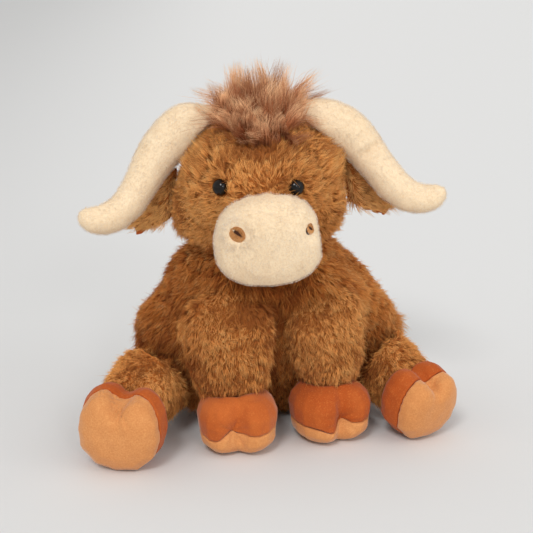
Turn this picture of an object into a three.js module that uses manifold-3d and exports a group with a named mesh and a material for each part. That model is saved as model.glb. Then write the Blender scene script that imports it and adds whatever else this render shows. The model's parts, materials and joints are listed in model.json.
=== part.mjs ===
// A plush long-horned bull that sits on its seat, with its front legs upright before it and its hind legs
// splayed forward along the floor, soles to the front. Each sewn and stuffed piece is a solid of its own.
// Millimetres. +Z is up, the bull faces -Y and its own left side is +X. The origin lies on the floor, under
// the middle of everything the bull is made of.

import * as THREE from 'three';
import { mergeVertices } from 'three/addons/utils/BufferGeometryUtils.js';
import Module from 'manifold-3d';

const wasm = await Module();
wasm.setup();

// Clearances
const seamGap = 0.3; // between two pieces that touch
const hingeGap = 0.55; // between two pieces that turn against each other
const floorCut = 0.5; // how deep the floor presses each stuffed piece flat
const overrun = 4; // how far a cutting tool passes what it cuts
const sweepStep = 9; // degrees between the positions in which a moving piece is kept clear
const evenness = 0.12; // how far a cut surface may stray where small facets are joined into larger ones

// The head's pose, in degrees: turned and tilted to its own right
const headTurned = 10;
const headTilted = 3;

// How far each joint turns, in degrees from the pieces as sewn
const headTurn = 20;
const frontLegSwing = 40;
const hindLegLift = 30;
const earFlap = 20;

// Torso: a pear that leans forward from its seat to the neck
const torso = {
  height: 160,
  width: 190,
  depth: 122,
  lean: 30,
  sideLean: 8, // of the seat to its own left, and of the neck to its own right
  heightShares: [0, 0.16, 0.42, 0.65, 0.84, 1],
  leanShares: [1, 0.9, 0.54, 0.18, 0.04, 0],
  sideLeanShares: [1, 1, 0.7, -0.15, -0.8, -0.95],
  widthShares: [0.86, 1.04, 1.09, 0.92, 0.62, 0.46],
  depthShares: [0.76, 0.88, 0.94, 0.88, 0.76, 0.66],
  fullness: 2.15,
  bluntness: [12, 4],
  rings: 11,
  sides: 20,
};

// Head: a ball that narrows and drops towards the muzzle
const head = {
  width: 124,
  height: 108,
  length: 116,
  overlap: 22, // how far the neck reaches up into it
  forward: 18, // of the neck
  drop: 22, // of the face below the crown
  lengthShares: [0.5, 0.24, -0.06, -0.32, -0.5],
  dropShares: [0.04, 0, 0.14, 0.52, 1],
  widthShares: [0.8, 1, 1.02, 0.9, 0.66],
  heightShares: [0.78, 1, 1.02, 0.88, 0.62],
  pear: 0.2,
  fullness: 2.3,
  bluntness: [3, 4],
  rings: 12,
  sides: 20,
};

// Muzzle: a short padded barrel with a nearly flat face
const muzzle = {
  width: 76,
  height: 66,
  length: 54,
  reach: 28, // of its face, before the head's own front
  tiltDegrees: 12, // of the barrel, which points down
  rise: -6, // of its face against the face of the head
  widthShares: [0.86, 0.98, 1.02, 0.92],
  heightShares: [0.86, 0.98, 1.02, 0.94],
  pear: 0.1,
  fullness: 2.35,
  bluntness: [4, 7],
  rings: 9,
  sides: 16,
};

// Nostrils: ovals of satin stitch on the muzzle's face
const nostril = {
  width: 10,
  height: 11.5,
  thickness: 2.4,
  spreadShare: 0.7, // of the muzzle's width, between the two nostrils
  shift: 3.6, // of both to its own left
  rise: 14, // above the centre of the muzzle's face
  sides: 10,
  rings: 6,
};

// Safety eyes: a domed button whose barbed shank is locked by a washer behind the fabric
const eye = {
  diameter: 12.5,
  bulge: 5,
  rim: 1.2,
  spreadShare: 0.457, // of the head's width, between the two eyes
  shift: -4.9, // of both to its own left
  riseRight: 8.5, // above the middle of the head
  riseLeft: 4.4,
  sink: 3.5, // of the button's back below the tips of the pile
  fabric: 3,
  shank: 4.4,
  shankLength: 13,
  barb: 0.7,
  barbPitch: 3,
  washer: 13,
  washerThickness: 1.4,
  washerDish: 1.2,
  domeSteps: 5,
  sides: 12,
};

// Horns: they leave the crown sideways, droop, and turn out again at the tip
const horn = {
  span: 271, // tip to tip
  rootDrop: 15, // of the root below the crown
  droop: 58, // of the lowest bend below the root
  forward: 30, // of the tip before the root
  setBack: 8, // of the root behind the middle of the head
  thickness: 38, // at the root
  // Along the horn: how far out, how far down and how far forward it has come, and how thick it still is
  outShares: [0.14, 0.305, 0.42, 0.515, 0.595, 0.675, 0.77, 0.885, 1],
  downShares: [0.05, 0, 0.06, 0.19, 0.41, 0.68, 0.93, 1, 0.88],
  forwardShares: [0, 0.04, 0.1, 0.2, 0.34, 0.54, 0.76, 0.92, 1],
  thicknessShares: [0.95, 1, 1, 0.9, 0.78, 0.7, 0.66, 0.61, 0.52],
  fullness: 2,
  bluntness: [8, 9],
  rings: 16,
  sides: 10,
};

// Ears: flat leaves that hang under the horns, furry in front and lined behind
const ear = {
  length: 61,
  width: 40,
  thickness: 13,
  lining: 4,
  rootOut: 52,
  rootRise: 3, // above the middle of the head
  setBack: 14, // of the root behind the middle of the head
  droopRightDegrees: 36, // below the level
  droopLeftDegrees: 32,
  sweepDegrees: 4, // of the tip to the front
  widthShares: [1.02, 1.06, 1, 0.82, 0.44],
  thicknessShares: [0.9, 1, 1, 0.9, 0.7],
  fullness: 2.2,
  bluntness: [6, 5],
  rings: 8,
  sides: 10,
};

// Forelock: a patch of long pile on the crown and the brow, brushed up and forward into locks
const forelock = {
  width: 88,
  length: 88,
  height: 34,
  forward: 15, // of the patch before the middle of the head
  sink: 14, // of the patch's middle below the crown
  tiltDegrees: 36, // of the patch, down over the brow
  locks: 14,
  lockLength: 32,
  lockThickness: 17,
  lockShares: [1.1, 0.8, 0.14],
  lockFullness: 2,
  lockBluntness: [4, 8],
  lockBend: 7,
  upright: 0.6, // how much the locks stand up instead of out of the patch
  spreadShare: 0.68, // how far out on the patch the outermost lock stands
  leanDegrees: 52, // of the outermost lock
  rings: 7,
  sides: 12,
  lockRings: 3,
  lockSides: 5,
};

// Front legs: they hang from the shoulders and stand on the floor
const frontLeg = {
  shoulderHeight: 117,
  ankleHeight: 38,
  shoulderOutRight: 42,
  shoulderOutLeft: 39,
  ankleOutRight: 34,
  ankleOutLeft: 38,
  shoulderForward: 34,
  ankleForwardRight: 57,
  ankleForwardLeft: 53,
  widthRight: 62,
  widthLeft: 56,
  depth: 56,
  heightShares: [1, 0.62, 0.26, 0],
  forwardShares: [0, 0.55, 0.9, 1],
  widthShares: [1.26, 1.18, 1, 0.84],
  depthShares: [1.04, 1, 0.94, 0.84],
  fullness: 2.1,
  bluntness: [3, 7],
  rings: 9,
  sides: 16,
};

// Hind legs: thick thighs that lie along the floor
const hindLeg = {
  hipHeightRight: 43,
  hipHeightLeft: 47,
  ankleHeight: 30,
  hipOutRight: 68,
  hipOutLeft: 83,
  ankleOutRight: 117,
  ankleOutLeft: 100,
  hipForward: -10,
  ankleForwardRight: 68,
  ankleForwardLeft: 66,
  hipThickness: 72,
  ankleThickness: 45,
  placeShares: [0, 0.36, 0.72, 1],
  outShares: [0, 0.48, 0.84, 1],
  fullness: 2.1,
  bluntness: [3, 7],
  rings: 8,
  sides: 16,
};

// Hooves: two toes with a deep cleft between them, the sole a lighter pad sewn in below
const hoof = {
  width: 61,
  length: 61,
  height: 46,
  cleftDepthShare: 0.34,
  cleftDegrees: 17,
  seamShare: 0.36, // of the height, from the sole up to its seam
  pull: 1.6, // of the seam into the stuffing
  pullWidth: 5,
  fullness: 2.4,
  squareness: 0.7,
  crowding: 0.6, // of the facets towards the cleft
  rings: 9,
  sides: 18,
};
const frontHoof = { forward: 8, toeOutDegrees: 11 };
const hindHoof = {
  overlap: 13,
  growShareRight: 1.05,
  growShareLeft: 0.95,
  toeOutDegreesRight: 24,
  toeOutDegreesLeft: 24,
  layBackDegreesRight: 80,
  layBackDegreesLeft: 73,
  rollDegreesRight: 6,
  rollDegreesLeft: -3,
};

// Tail: a thin stuffed rope that ends in a tuft
const tail = {
  rootHeight: 62,
  thickness: 15,
  bend: 6, // how far it stands out before it hangs down
  reach: 13, // of the tuft behind the root
  tuftLength: 34,
  tuftThickness: 26,
  clearance: 3, // of the tuft above the floor
  fullness: 2,
  bluntness: [3, 8],
  rings: 7,
  sides: 8,
};

// Colours as sewn
const finish = (color, roughness) => new THREE.MeshStandardMaterial({ color, roughness, metalness: 0 });
const brownPlush = finish('#9a5f30', 0.95);
const longPile = finish('#8e5f47', 0.95);
const creamVelour = finish('#f0d5ad', 0.9);
const rustVelour = finish('#c4672c', 0.85);
const amberVelour = finish('#df9450', 0.85);
const stitching = finish('#c98442', 0.8);
const blackPlastic = finish('#120d0a', 0.15);
const clearedPlastic = finish('#d9d4c8', 0.5);

const hands = [{ hand: -1, label: 'right' }, { hand: 1, label: 'left' }];
const vector = (x, y, z) => new THREE.Vector3(x, y, z);
const radians = THREE.MathUtils.degToRad;

// A closed mesh as a manifold solid, with only the places of its vertices kept.
function solidOf(geometry) {
  const bare = geometry.clone();
  bare.deleteAttribute('normal');
  bare.deleteAttribute('uv');
  const merged = mergeVertices(bare, 1e-4);
  return new wasm.Manifold(new wasm.Mesh({
    numProp: 3,
    vertProperties: merged.attributes.position.array,
    triVerts: new Uint32Array(merged.index.array),
  }));
}

function geometryOf(solid) {
  const mesh = solid.getMesh();
  const geometry = new THREE.BufferGeometry();
  geometry.setAttribute('position', new THREE.BufferAttribute(mesh.vertProperties, mesh.numProp));
  geometry.setIndex(new THREE.BufferAttribute(mesh.triVerts, 1));
  return geometry;
}

// The value at a share t of the way along a table, on a smooth curve through its entries.
function along(values, t) {
  return new THREE.SplineCurve(values.map((value, i) => new THREE.Vector2(i, value))).getPoint(t).y;
}

// Rings of vertices joined into one closed skin. ringAt(i) gives the ring's points in turn about the line
// from first to last, and the skin closes on the points first and last.
function skinOver(first, ringAt, last, rings, sides) {
  const places = [...first.toArray()];
  for (let i = 1; i < rings; i += 1) ringAt(i).forEach((point) => places.push(...point.toArray()));
  places.push(...last.toArray());
  const vertex = (i, j) => 1 + (i - 1) * sides + (j % sides);
  const end = places.length / 3 - 1;
  const faces = [];
  for (let j = 0; j < sides; j += 1) {
    faces.push(0, vertex(1, j + 1), vertex(1, j));
    for (let i = 1; i < rings - 1; i += 1) {
      faces.push(vertex(i, j), vertex(i, j + 1), vertex(i + 1, j));
      faces.push(vertex(i, j + 1), vertex(i + 1, j + 1), vertex(i + 1, j));
    }
    faces.push(end, vertex(rings - 1, j), vertex(rings - 1, j + 1));
  }
  const skin = new THREE.BufferGeometry();
  skin.setAttribute('position', new THREE.Float32BufferAttribute(places, 3));
  skin.setIndex(faces);
  return skin;
}

// A stuffed piece: oval sections along a spine, which swell and taper and close in domed ends. widths lie
// along the direction side, and depths square to it and to the spine. A fullness over 2 squares the ovals,
// a pear over zero makes them narrower on one side than on the other, and a high bluntness makes an end flat.
function stuffedForm({ spine, widths, depths, side, fullness, bluntness, rings, sides, pear = 0 }) {
  const curve = new THREE.CatmullRomCurve3(spine);
  const [startBluntness, endBluntness] = bluntness;
  const bulge = (value) => Math.sign(value) * Math.abs(value) ** (2 / fullness);
  const ringAt = (i) => {
    const t = (1 - Math.cos((Math.PI * i) / rings)) / 2;
    const fromMiddle = 2 * t - 1;
    const dome = Math.sqrt(1 - Math.abs(fromMiddle) ** (fromMiddle < 0 ? startBluntness : endBluntness));
    const tangent = curve.getTangent(t);
    const across = side.clone().addScaledVector(tangent, -side.dot(tangent)).normalize();
    const upward = tangent.clone().cross(across);
    const halfWidth = (along(widths, t) * dome) / 2;
    const halfDepth = (along(depths, t) * dome) / 2;
    return Array.from({ length: sides }, (_, j) => {
      const angle = (2 * Math.PI * j) / sides;
      return curve.getPoint(t)
        .addScaledVector(across, halfWidth * bulge(Math.cos(angle)) * (1 - pear * Math.sin(angle)))
        .addScaledVector(upward, halfDepth * bulge(Math.sin(angle)));
    });
  };
  return skinOver(spine[0], ringAt, spine[spine.length - 1], rings, sides);
}

// The same skin, moved outwards everywhere by a small distance.
function swollen(geometry, distance) {
  const grown = geometry.clone();
  grown.computeVertexNormals();
  const { position, normal } = grown.attributes;
  for (let i = 0; i < position.count; i += 1) {
    const outward = vector(0, 0, 0).fromBufferAttribute(normal, i).multiplyScalar(distance);
    const place = vector(0, 0, 0).fromBufferAttribute(position, i).add(outward);
    position.setXYZ(i, place.x, place.y, place.z);
  }
  return grown;
}

const clearOf = (geometry) => solidOf(swollen(geometry, seamGap));

// What a neighbour fills, seen from a piece that turns on a hinge between two angles, with the seam's gap.
function clearOfSwing(geometry, hinge) {
  const grown = swollen(geometry, hingeGap);
  const steps = Math.ceil((hinge.to - hinge.from) / sweepStep);
  let filled = null;
  for (let i = 0; i <= steps; i += 1) {
    const angle = radians(hinge.from + ((hinge.to - hinge.from) * i) / steps);
    const turned = grown.clone()
      .translate(-hinge.at.x, -hinge.at.y, -hinge.at.z)
      .applyMatrix4(new THREE.Matrix4().makeRotationAxis(hinge.axis, -angle))
      .translate(hinge.at.x, hinge.at.y, hinge.at.z);
    filled = filled ? filled.add(solidOf(turned)) : solidOf(turned);
  }
  return filled;
}

// Everything above the floor.
const bullSize = horn.span + torso.depth;
const aboveFloor = solidOf(new THREE.BoxGeometry(bullSize, bullSize, bullSize).translate(0, 0, bullSize / 2));

// Where a line first meets a skin, and which way the skin faces there.
function seatOn(geometry, from, direction) {
  const target = new THREE.Mesh(geometry, new THREE.MeshBasicMaterial({ side: THREE.DoubleSide }));
  const [hit] = new THREE.Raycaster(from, direction.clone().normalize()).intersectObject(target);
  return { at: hit.point, facing: hit.face.normal.clone() };
}

// A geometry made along +Z, set down at a place and turned to face a direction.
function placedOn(geometry, at, facing) {
  const turn = new THREE.Quaternion().setFromUnitVectors(vector(0, 0, 1), facing.clone().normalize());
  return geometry.clone().applyQuaternion(turn).translate(at.x, at.y, at.z);
}

// Torso
const torsoForm = stuffedForm({
  ...torso,
  spine: torso.heightShares.map((share, i) => (
    vector(
      torso.sideLean * torso.sideLeanShares[i],
      torso.lean * torso.leanShares[i],
      torso.height * share - floorCut * (i === 0),
    )
  )),
  widths: torso.widthShares.map((share) => torso.width * share),
  depths: torso.depthShares.map((share) => torso.depth * share),
  side: vector(1, 0, 0),
});

// Head
const neck = vector(0, 0, torso.height);
const headMiddle = vector(0, -head.forward, torso.height - head.overlap + head.height / 2);
const crown = vector(0, 0, head.height / 2).add(headMiddle);
const headForm = stuffedForm({
  ...head,
  spine: head.lengthShares.map((share, i) => (
    vector(0, head.length * share, -head.drop * head.dropShares[i]).add(headMiddle)
  )),
  widths: head.widthShares.map((share) => head.width * share),
  depths: head.heightShares.map((share) => head.height * share),
  side: vector(1, 0, 0),
});

// Muzzle
const faceCentre = vector(0, -head.length / 2, -head.drop).add(headMiddle);
const muzzleAxis = vector(0, -Math.cos(radians(muzzle.tiltDegrees)), -Math.sin(radians(muzzle.tiltDegrees)));
const muzzleFace = faceCentre.clone().addScaledVector(muzzleAxis, muzzle.reach).add(vector(0, 0, muzzle.rise));
const muzzleForm = stuffedForm({
  ...muzzle,
  spine: muzzle.widthShares.map((_, i, all) => (
    muzzleFace.clone().addScaledVector(muzzleAxis, muzzle.length * (i / (all.length - 1) - 1))
  )),
  widths: muzzle.widthShares.map((share) => muzzle.width * share),
  depths: muzzle.heightShares.map((share) => muzzle.height * share),
  side: vector(1, 0, 0),
});

// Where the head turns on the neck, and where the legs turn on the torso
const across = vector(-1, 0, 0);
const neckHinge = { at: neck, axis: vector(0, 0, 1), from: -headTurn, to: headTurn };
const shoulderHinge = {
  at: vector(0, -frontLeg.shoulderForward, frontLeg.shoulderHeight), axis: across, from: 0, to: frontLegSwing,
};
const hipHinges = {
  right: { at: vector(0, -hindLeg.hipForward, hindLeg.hipHeightRight), axis: across, from: 0, to: hindLegLift },
  left: { at: vector(0, -hindLeg.hipForward, hindLeg.hipHeightLeft), axis: across, from: 0, to: hindLegLift },
};

// Horns
function hornForm(hand) {
  const root = vector(0, horn.setBack, -horn.rootDrop).add(crown);
  return stuffedForm({
    ...horn,
    spine: horn.outShares.map((share, i) => vector(
      (hand * horn.span * share) / 2,
      -horn.forward * horn.forwardShares[i],
      -horn.droop * horn.downShares[i],
    ).add(root)),
    widths: horn.thicknessShares.map((share) => horn.thickness * share),
    depths: horn.thicknessShares.map((share) => horn.thickness * share),
    side: vector(0, 1, 0),
  });
}

// Ears
function earFrame(hand, label) {
  const lean = radians({ right: ear.droopRightDegrees, left: ear.droopLeftDegrees }[label]);
  const turn = radians(ear.sweepDegrees);
  const lengthwise = vector(hand * Math.cos(lean) * Math.cos(turn), -Math.sin(turn), -Math.sin(lean)).normalize();
  const root = vector(hand * ear.rootOut, ear.setBack, ear.rootRise).add(headMiddle);
  const front = vector(0, -1, 0).addScaledVector(lengthwise, lengthwise.y).normalize();
  return { root, lengthwise, front, widthwise: lengthwise.clone().cross(front) };
}

function earForm({ root, lengthwise, widthwise }) {
  return stuffedForm({
    ...ear,
    spine: ear.widthShares.map((_, i, all) => (
      root.clone().addScaledVector(lengthwise, (ear.length * i) / (all.length - 1))
    )),
    widths: ear.widthShares.map((share) => ear.width * share),
    depths: ear.thicknessShares.map((share) => ear.thickness * share),
    side: widthwise,
  });
}

// Forelock
function forelockSolid() {
  const lean = new THREE.Matrix4().makeRotationX(radians(forelock.tiltDegrees));
  const patch = vector(0, -forelock.forward, -forelock.sink).add(crown);
  const pad = new THREE.SphereGeometry(1, forelock.sides, forelock.rings)
    .rotateX(Math.PI / 2)
    .scale(forelock.width / 2, forelock.length / 2, forelock.height / 2)
    .applyMatrix4(lean)
    .translate(patch.x, patch.y, patch.z);
  const goldenAngle = Math.PI * (3 - Math.sqrt(5));
  let tuft = solidOf(pad);
  for (let i = 0; i < forelock.locks; i += 1) {
    const out = Math.sqrt((i + 0.5) / forelock.locks);
    const heading = vector(Math.cos(i * goldenAngle), Math.sin(i * goldenAngle), 0);
    const outward = radians(forelock.leanDegrees * out);
    const root = heading.clone().multiply(vector(forelock.width, forelock.length, 0))
      .multiplyScalar((out * forelock.spreadShare) / 2)
      .applyMatrix4(lean)
      .add(patch);
    const growth = heading.clone().multiplyScalar(Math.sin(outward)).add(vector(0, 0, Math.cos(outward)))
      .applyMatrix4(lean)
      .lerp(vector(0, 0, 1), forelock.upright)
      .normalize();
    const tip = root.clone().addScaledVector(growth, forelock.lockLength);
    const middle = root.clone().lerp(tip, 0.5).add(vector(0, 0, forelock.lockBend * out));
    const thickness = forelock.lockShares.map((share) => forelock.lockThickness * share);
    tuft = tuft.add(solidOf(stuffedForm({
      spine: [root, middle, tip],
      widths: thickness,
      depths: thickness,
      side: vector(-heading.y, heading.x, 0),
      fullness: forelock.lockFullness,
      bluntness: forelock.lockBluntness,
      rings: forelock.lockRings,
      sides: forelock.lockSides,
    })));
  }
  return tuft;
}

// Legs
const frontLegEnds = {
  right: {
    width: frontLeg.widthRight,
    shoulderOut: frontLeg.shoulderOutRight,
    ankle: [frontLeg.ankleOutRight, frontLeg.ankleForwardRight],
  },
  left: {
    width: frontLeg.widthLeft,
    shoulderOut: frontLeg.shoulderOutLeft,
    ankle: [frontLeg.ankleOutLeft, frontLeg.ankleForwardLeft],
  },
};

function frontLegForm(hand, label) {
  const { width, shoulderOut, ankle: [ankleOut, ankleForward] } = frontLegEnds[label];
  const rise = frontLeg.shoulderHeight - frontLeg.ankleHeight;
  const run = ankleForward - frontLeg.shoulderForward;
  return stuffedForm({
    ...frontLeg,
    spine: frontLeg.heightShares.map((share, i) => vector(
      hand * THREE.MathUtils.lerp(ankleOut, shoulderOut, share),
      -frontLeg.shoulderForward - run * frontLeg.forwardShares[i],
      frontLeg.ankleHeight + rise * share,
    )),
    widths: frontLeg.widthShares.map((share) => width * share),
    depths: frontLeg.depthShares.map((share) => frontLeg.depth * share),
    side: vector(1, 0, 0),
  });
}

const hindLegEnds = {
  right: {
    hip: [hindLeg.hipOutRight, hindLeg.hipHeightRight],
    ankle: [hindLeg.ankleOutRight, hindLeg.ankleForwardRight],
  },
  left: {
    hip: [hindLeg.hipOutLeft, hindLeg.hipHeightLeft],
    ankle: [hindLeg.ankleOutLeft, hindLeg.ankleForwardLeft],
  },
};

function hindLegPlace(hand, label, share, outShare) {
  const { hip: [hipOut, hipHeight], ankle: [ankleOut, ankleForward] } = hindLegEnds[label];
  return vector(
    hand * THREE.MathUtils.lerp(hipOut, ankleOut, outShare),
    -THREE.MathUtils.lerp(hindLeg.hipForward, ankleForward, share),
    THREE.MathUtils.lerp(hipHeight, hindLeg.ankleHeight, share),
  );
}

function hindLegForm(hand, label) {
  const thickness = hindLeg.placeShares.map((share) => (
    THREE.MathUtils.lerp(hindLeg.hipThickness, hindLeg.ankleThickness, share)
  ));
  return stuffedForm({
    ...hindLeg,
    spine: hindLeg.placeShares.map((share, i) => hindLegPlace(hand, label, share, hindLeg.outShares[i])),
    widths: thickness,
    depths: thickness,
    side: vector(0, 0, 1),
  });
}

// A hoof about its own middle, toes to -Y and sole down: an oval pad whose outline dips into the cleft.
function hoofForm() {
  const { width, length, height, fullness, squareness, rings, sides } = hoof;
  const level = (i) => Math.PI * (i / rings - 0.5);
  const power = (value, exponent) => Math.sign(value) * Math.abs(value) ** exponent;
  const seamLevel = height * (hoof.seamShare - 0.5);
  const ringAt = (i) => {
    const z = (height / 2) * power(Math.sin(level(i)), squareness);
    const pulled = hoof.pull * Math.exp(-(((z - seamLevel) / hoof.pullWidth) ** 2));
    return Array.from({ length: sides }, (_, j) => {
      const turn = (2 * Math.PI * j) / sides;
      const angle = turn - hoof.crowding * Math.sin(turn);
      const toToe = Math.atan2(Math.sin(angle), Math.cos(angle)) / radians(hoof.cleftDegrees);
      const [out, ahead] = [(2 * Math.sin(angle)) / width, (2 * Math.cos(angle)) / length];
      const oval = (Math.abs(out) ** fullness + Math.abs(ahead) ** fullness) ** (-1 / fullness);
      const cleft = 1 - hoof.cleftDepthShare * Math.exp(-(toToe ** 2));
      const radius = (oval * cleft - pulled) * power(Math.cos(level(i)), squareness);
      return vector(radius * Math.sin(angle), -radius * Math.cos(angle), z);
    });
  };
  return skinOver(vector(0, 0, -height / 2), ringAt, vector(0, 0, height / 2), rings, sides);
}

// The hoof in two: the upper above the sole's seam, and the sole below it.
function hoofHalves() {
  const whole = solidOf(hoofForm());
  const size = Math.max(hoof.width, hoof.length, hoof.height) + overrun;
  const seamLevel = hoof.height * (hoof.seamShare - 0.5);
  const block = (shift) => solidOf(new THREE.BoxGeometry(size, size, size).translate(0, 0, seamLevel + shift));
  return {
    upper: geometryOf(whole.intersect(block((size + seamGap) / 2))),
    sole: geometryOf(whole.intersect(block(-(size + seamGap) / 2))),
  };
}

// The eye's button and shank, along +Z with the button's back at the origin.
function eyePoints() {
  const radius = eye.diameter / 2;
  const points = [new THREE.Vector2(0, -eye.shankLength)];
  const barbs = Math.floor((eye.shankLength - eye.rim) / eye.barbPitch);
  for (let i = 0; i < barbs; i += 1) {
    const level = -eye.shankLength + i * eye.barbPitch;
    points.push(new THREE.Vector2(eye.shank / 2, level));
    points.push(new THREE.Vector2(eye.shank / 2 + eye.barb, level + eye.barbPitch / 2));
    points.push(new THREE.Vector2(eye.shank / 2, level + eye.barbPitch / 2));
  }
  points.push(new THREE.Vector2(eye.shank / 2, 0));
  points.push(new THREE.Vector2(radius, 0));
  for (let i = 0; i <= eye.domeSteps; i += 1) {
    const angle = (Math.PI / 2) * (i / eye.domeSteps);
    points.push(new THREE.Vector2(radius * Math.cos(angle), eye.rim + (eye.bulge - eye.rim) * Math.sin(angle)));
  }
  return points;
}

const onAxis = (points) => new THREE.LatheGeometry(points, eye.sides).rotateX(Math.PI / 2);
const profile = (pairs) => pairs.map(([radius, level]) => new THREE.Vector2(radius, level));

// What is cut from the head for an eye: a pit for its button, and room for its shank and its washer.
function eyeRoomPoints() {
  const button = eye.diameter / 2 + seamGap;
  const shank = eye.shank / 2 + eye.barb + seamGap;
  const washer = eye.washer / 2 + seamGap;
  const washerTop = -eye.fabric + seamGap;
  const washerFoot = -eye.fabric - eye.washerThickness - eye.washerDish - seamGap;
  const outside = eye.bulge + eye.sink + overrun;
  return profile([
    [0, -eye.shankLength - seamGap],
    [shank, -eye.shankLength - seamGap],
    [shank, washerFoot],
    [washer, washerFoot],
    [washer, washerTop],
    [shank, washerTop],
    [shank, -seamGap],
    [button, -seamGap],
    [button, outside],
    [0, outside],
  ]);
}

function washerPoints() {
  const hole = eye.shank / 2 + eye.barb + seamGap;
  const rim = eye.washer / 2;
  const top = -eye.fabric;
  return profile([
    [hole, top - eye.washerDish - eye.washerThickness],
    [rim, top - eye.washerThickness],
    [rim, top],
    [hole, top - eye.washerDish],
    [hole, top - eye.washerDish - eye.washerThickness],
  ]);
}

// The bull's groups: one for each part that turns, set where it turns
const bull = new THREE.Group();

function groupAt(parent, place) {
  const group = new THREE.Group();
  group.position.copy(parent.worldToLocal(place.clone()));
  parent.add(group);
  group.updateWorldMatrix(true, false);
  return group;
}

// A named piece, given in the bull's own frame and kept in its group's.
function addPiece(group, name, solid, material) {
  const geometry = geometryOf(solid.simplify(evenness));
  const mesh = new THREE.Mesh(geometry.applyMatrix4(group.matrixWorld.clone().invert()), material);
  mesh.name = name;
  group.add(mesh);
}

const torsoGroup = groupAt(bull, vector(0, 0, 0));
addPiece(torsoGroup, 'torso', solidOf(torsoForm).intersect(aboveFloor), brownPlush);

// The head and what is sewn to it
const headGroup = groupAt(bull, neck);
const neckRoom = geometryOf(clearOfSwing(torsoForm, neckHinge).simplify(evenness))
  .translate(0, 0, -neck.z)
  .rotateY(radians(headTilted))
  .translate(0, 0, neck.z);
let headSolid = solidOf(headForm).subtract(solidOf(neckRoom));
hands.forEach(({ hand, label }) => {
  const rise = { right: eye.riseRight, left: eye.riseLeft }[label];
  const aim = vector((hand * head.width * eye.spreadShare) / 2 + eye.shift, -bullSize, rise).add(headMiddle);
  const { at, facing } = seatOn(headForm, aim, vector(0, 1, 0));
  at.addScaledVector(facing, -eye.sink);
  const button = solidOf(placedOn(onAxis(eyePoints()), at, facing));
  const washer = solidOf(placedOn(onAxis(washerPoints()), at, facing));
  headSolid = headSolid.subtract(solidOf(placedOn(onAxis(eyeRoomPoints()), at, facing)));
  addPiece(headGroup, `eye_${label}`, button, blackPlastic);
  addPiece(headGroup, `eye_washer_${label}`, washer, clearedPlastic);
});
addPiece(headGroup, 'head', headSolid, brownPlush);

let muzzleSolid = solidOf(muzzleForm).subtract(clearOf(headForm));
hands.forEach(({ hand, label }) => {
  const out = (hand * muzzle.width * nostril.spreadShare) / 2 + nostril.shift;
  const aim = vector(out, -bullSize, nostril.rise).add(muzzleFace);
  const { at, facing } = seatOn(muzzleForm, aim, vector(0, 1, 0));
  const oval = new THREE.SphereGeometry(0.5, nostril.sides, nostril.rings);
  const patch = placedOn(oval.scale(nostril.width, nostril.height, nostril.thickness), at, facing);
  muzzleSolid = muzzleSolid.subtract(clearOf(geometryOf(solidOf(patch))));
  addPiece(headGroup, `nostril_${label}`, solidOf(patch), stitching);
});
addPiece(headGroup, 'muzzle', muzzleSolid, creamVelour);

let forelockPile = forelockSolid().subtract(clearOf(headForm)).subtract(clearOf(muzzleForm));
hands.forEach(({ hand, label }) => {
  const form = hornForm(hand);
  addPiece(headGroup, `horn_${label}`, solidOf(form).subtract(clearOf(headForm)), creamVelour);
  forelockPile = forelockPile.subtract(clearOf(form));
});
addPiece(headGroup, 'forelock', forelockPile, longPile);

// The ears, each parted into its furry front and the lining behind
hands.forEach(({ hand, label }) => {
  const frame = earFrame(hand, label);
  const hinge = { at: frame.root, axis: frame.widthwise, from: -earFlap, to: earFlap };
  const earGroup = groupAt(headGroup, frame.root);
  const clear = clearOfSwing(headForm, hinge).add(clearOfSwing(hornForm(hand), hinge));
  const whole = solidOf(earForm(frame)).subtract(clear.simplify(evenness));
  const size = ear.length * 2;
  const liningFace = ear.lining - ear.thickness / 2;
  const half = (shift) => solidOf(placedOn(
    new THREE.BoxGeometry(size, size, size),
    frame.root.clone().addScaledVector(frame.front, liningFace + shift),
    frame.front,
  ));
  addPiece(earGroup, `ear_${label}`, whole.intersect(half((size + seamGap) / 2)), brownPlush);
  addPiece(earGroup, `ear_lining_${label}`, whole.intersect(half(-(size + seamGap) / 2)), rustVelour);
});

// The legs, each with its hoof
const hindHoofPose = {
  right: [
    hindHoof.growShareRight, radians(hindHoof.toeOutDegreesRight),
    radians(hindHoof.layBackDegreesRight), radians(hindHoof.rollDegreesRight),
  ],
  left: [
    hindHoof.growShareLeft, radians(hindHoof.toeOutDegreesLeft),
    radians(hindHoof.layBackDegreesLeft), radians(hindHoof.rollDegreesLeft),
  ],
};
function addLeg(name, label, hinge, legForm, hoofPlace, neighbours = []) {
  legForm.computeBoundingBox();
  const middle = legForm.boundingBox.getCenter(vector(0, 0, 0));
  const group = groupAt(bull, vector(middle.x, hinge.at.y, hinge.at.z));
  const clear = neighbours.reduce(
    (filled, neighbour) => filled.add(clearOfSwing(neighbour, hinge)),
    clearOfSwing(torsoForm, hinge),
  );
  const leg = solidOf(legForm).subtract(clear.simplify(evenness)).intersect(aboveFloor);
  addPiece(group, `${name}_leg_${label}`, leg, brownPlush);
  const { upper, sole } = hoofHalves();
  const beyondLeg = (geometry) => (
    solidOf(geometry.applyMatrix4(hoofPlace)).subtract(clearOf(legForm)).intersect(aboveFloor)
  );
  addPiece(group, `${name}_hoof_${label}`, beyondLeg(upper), rustVelour);
  addPiece(group, `${name}_sole_${label}`, beyondLeg(sole), amberVelour);
}

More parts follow.
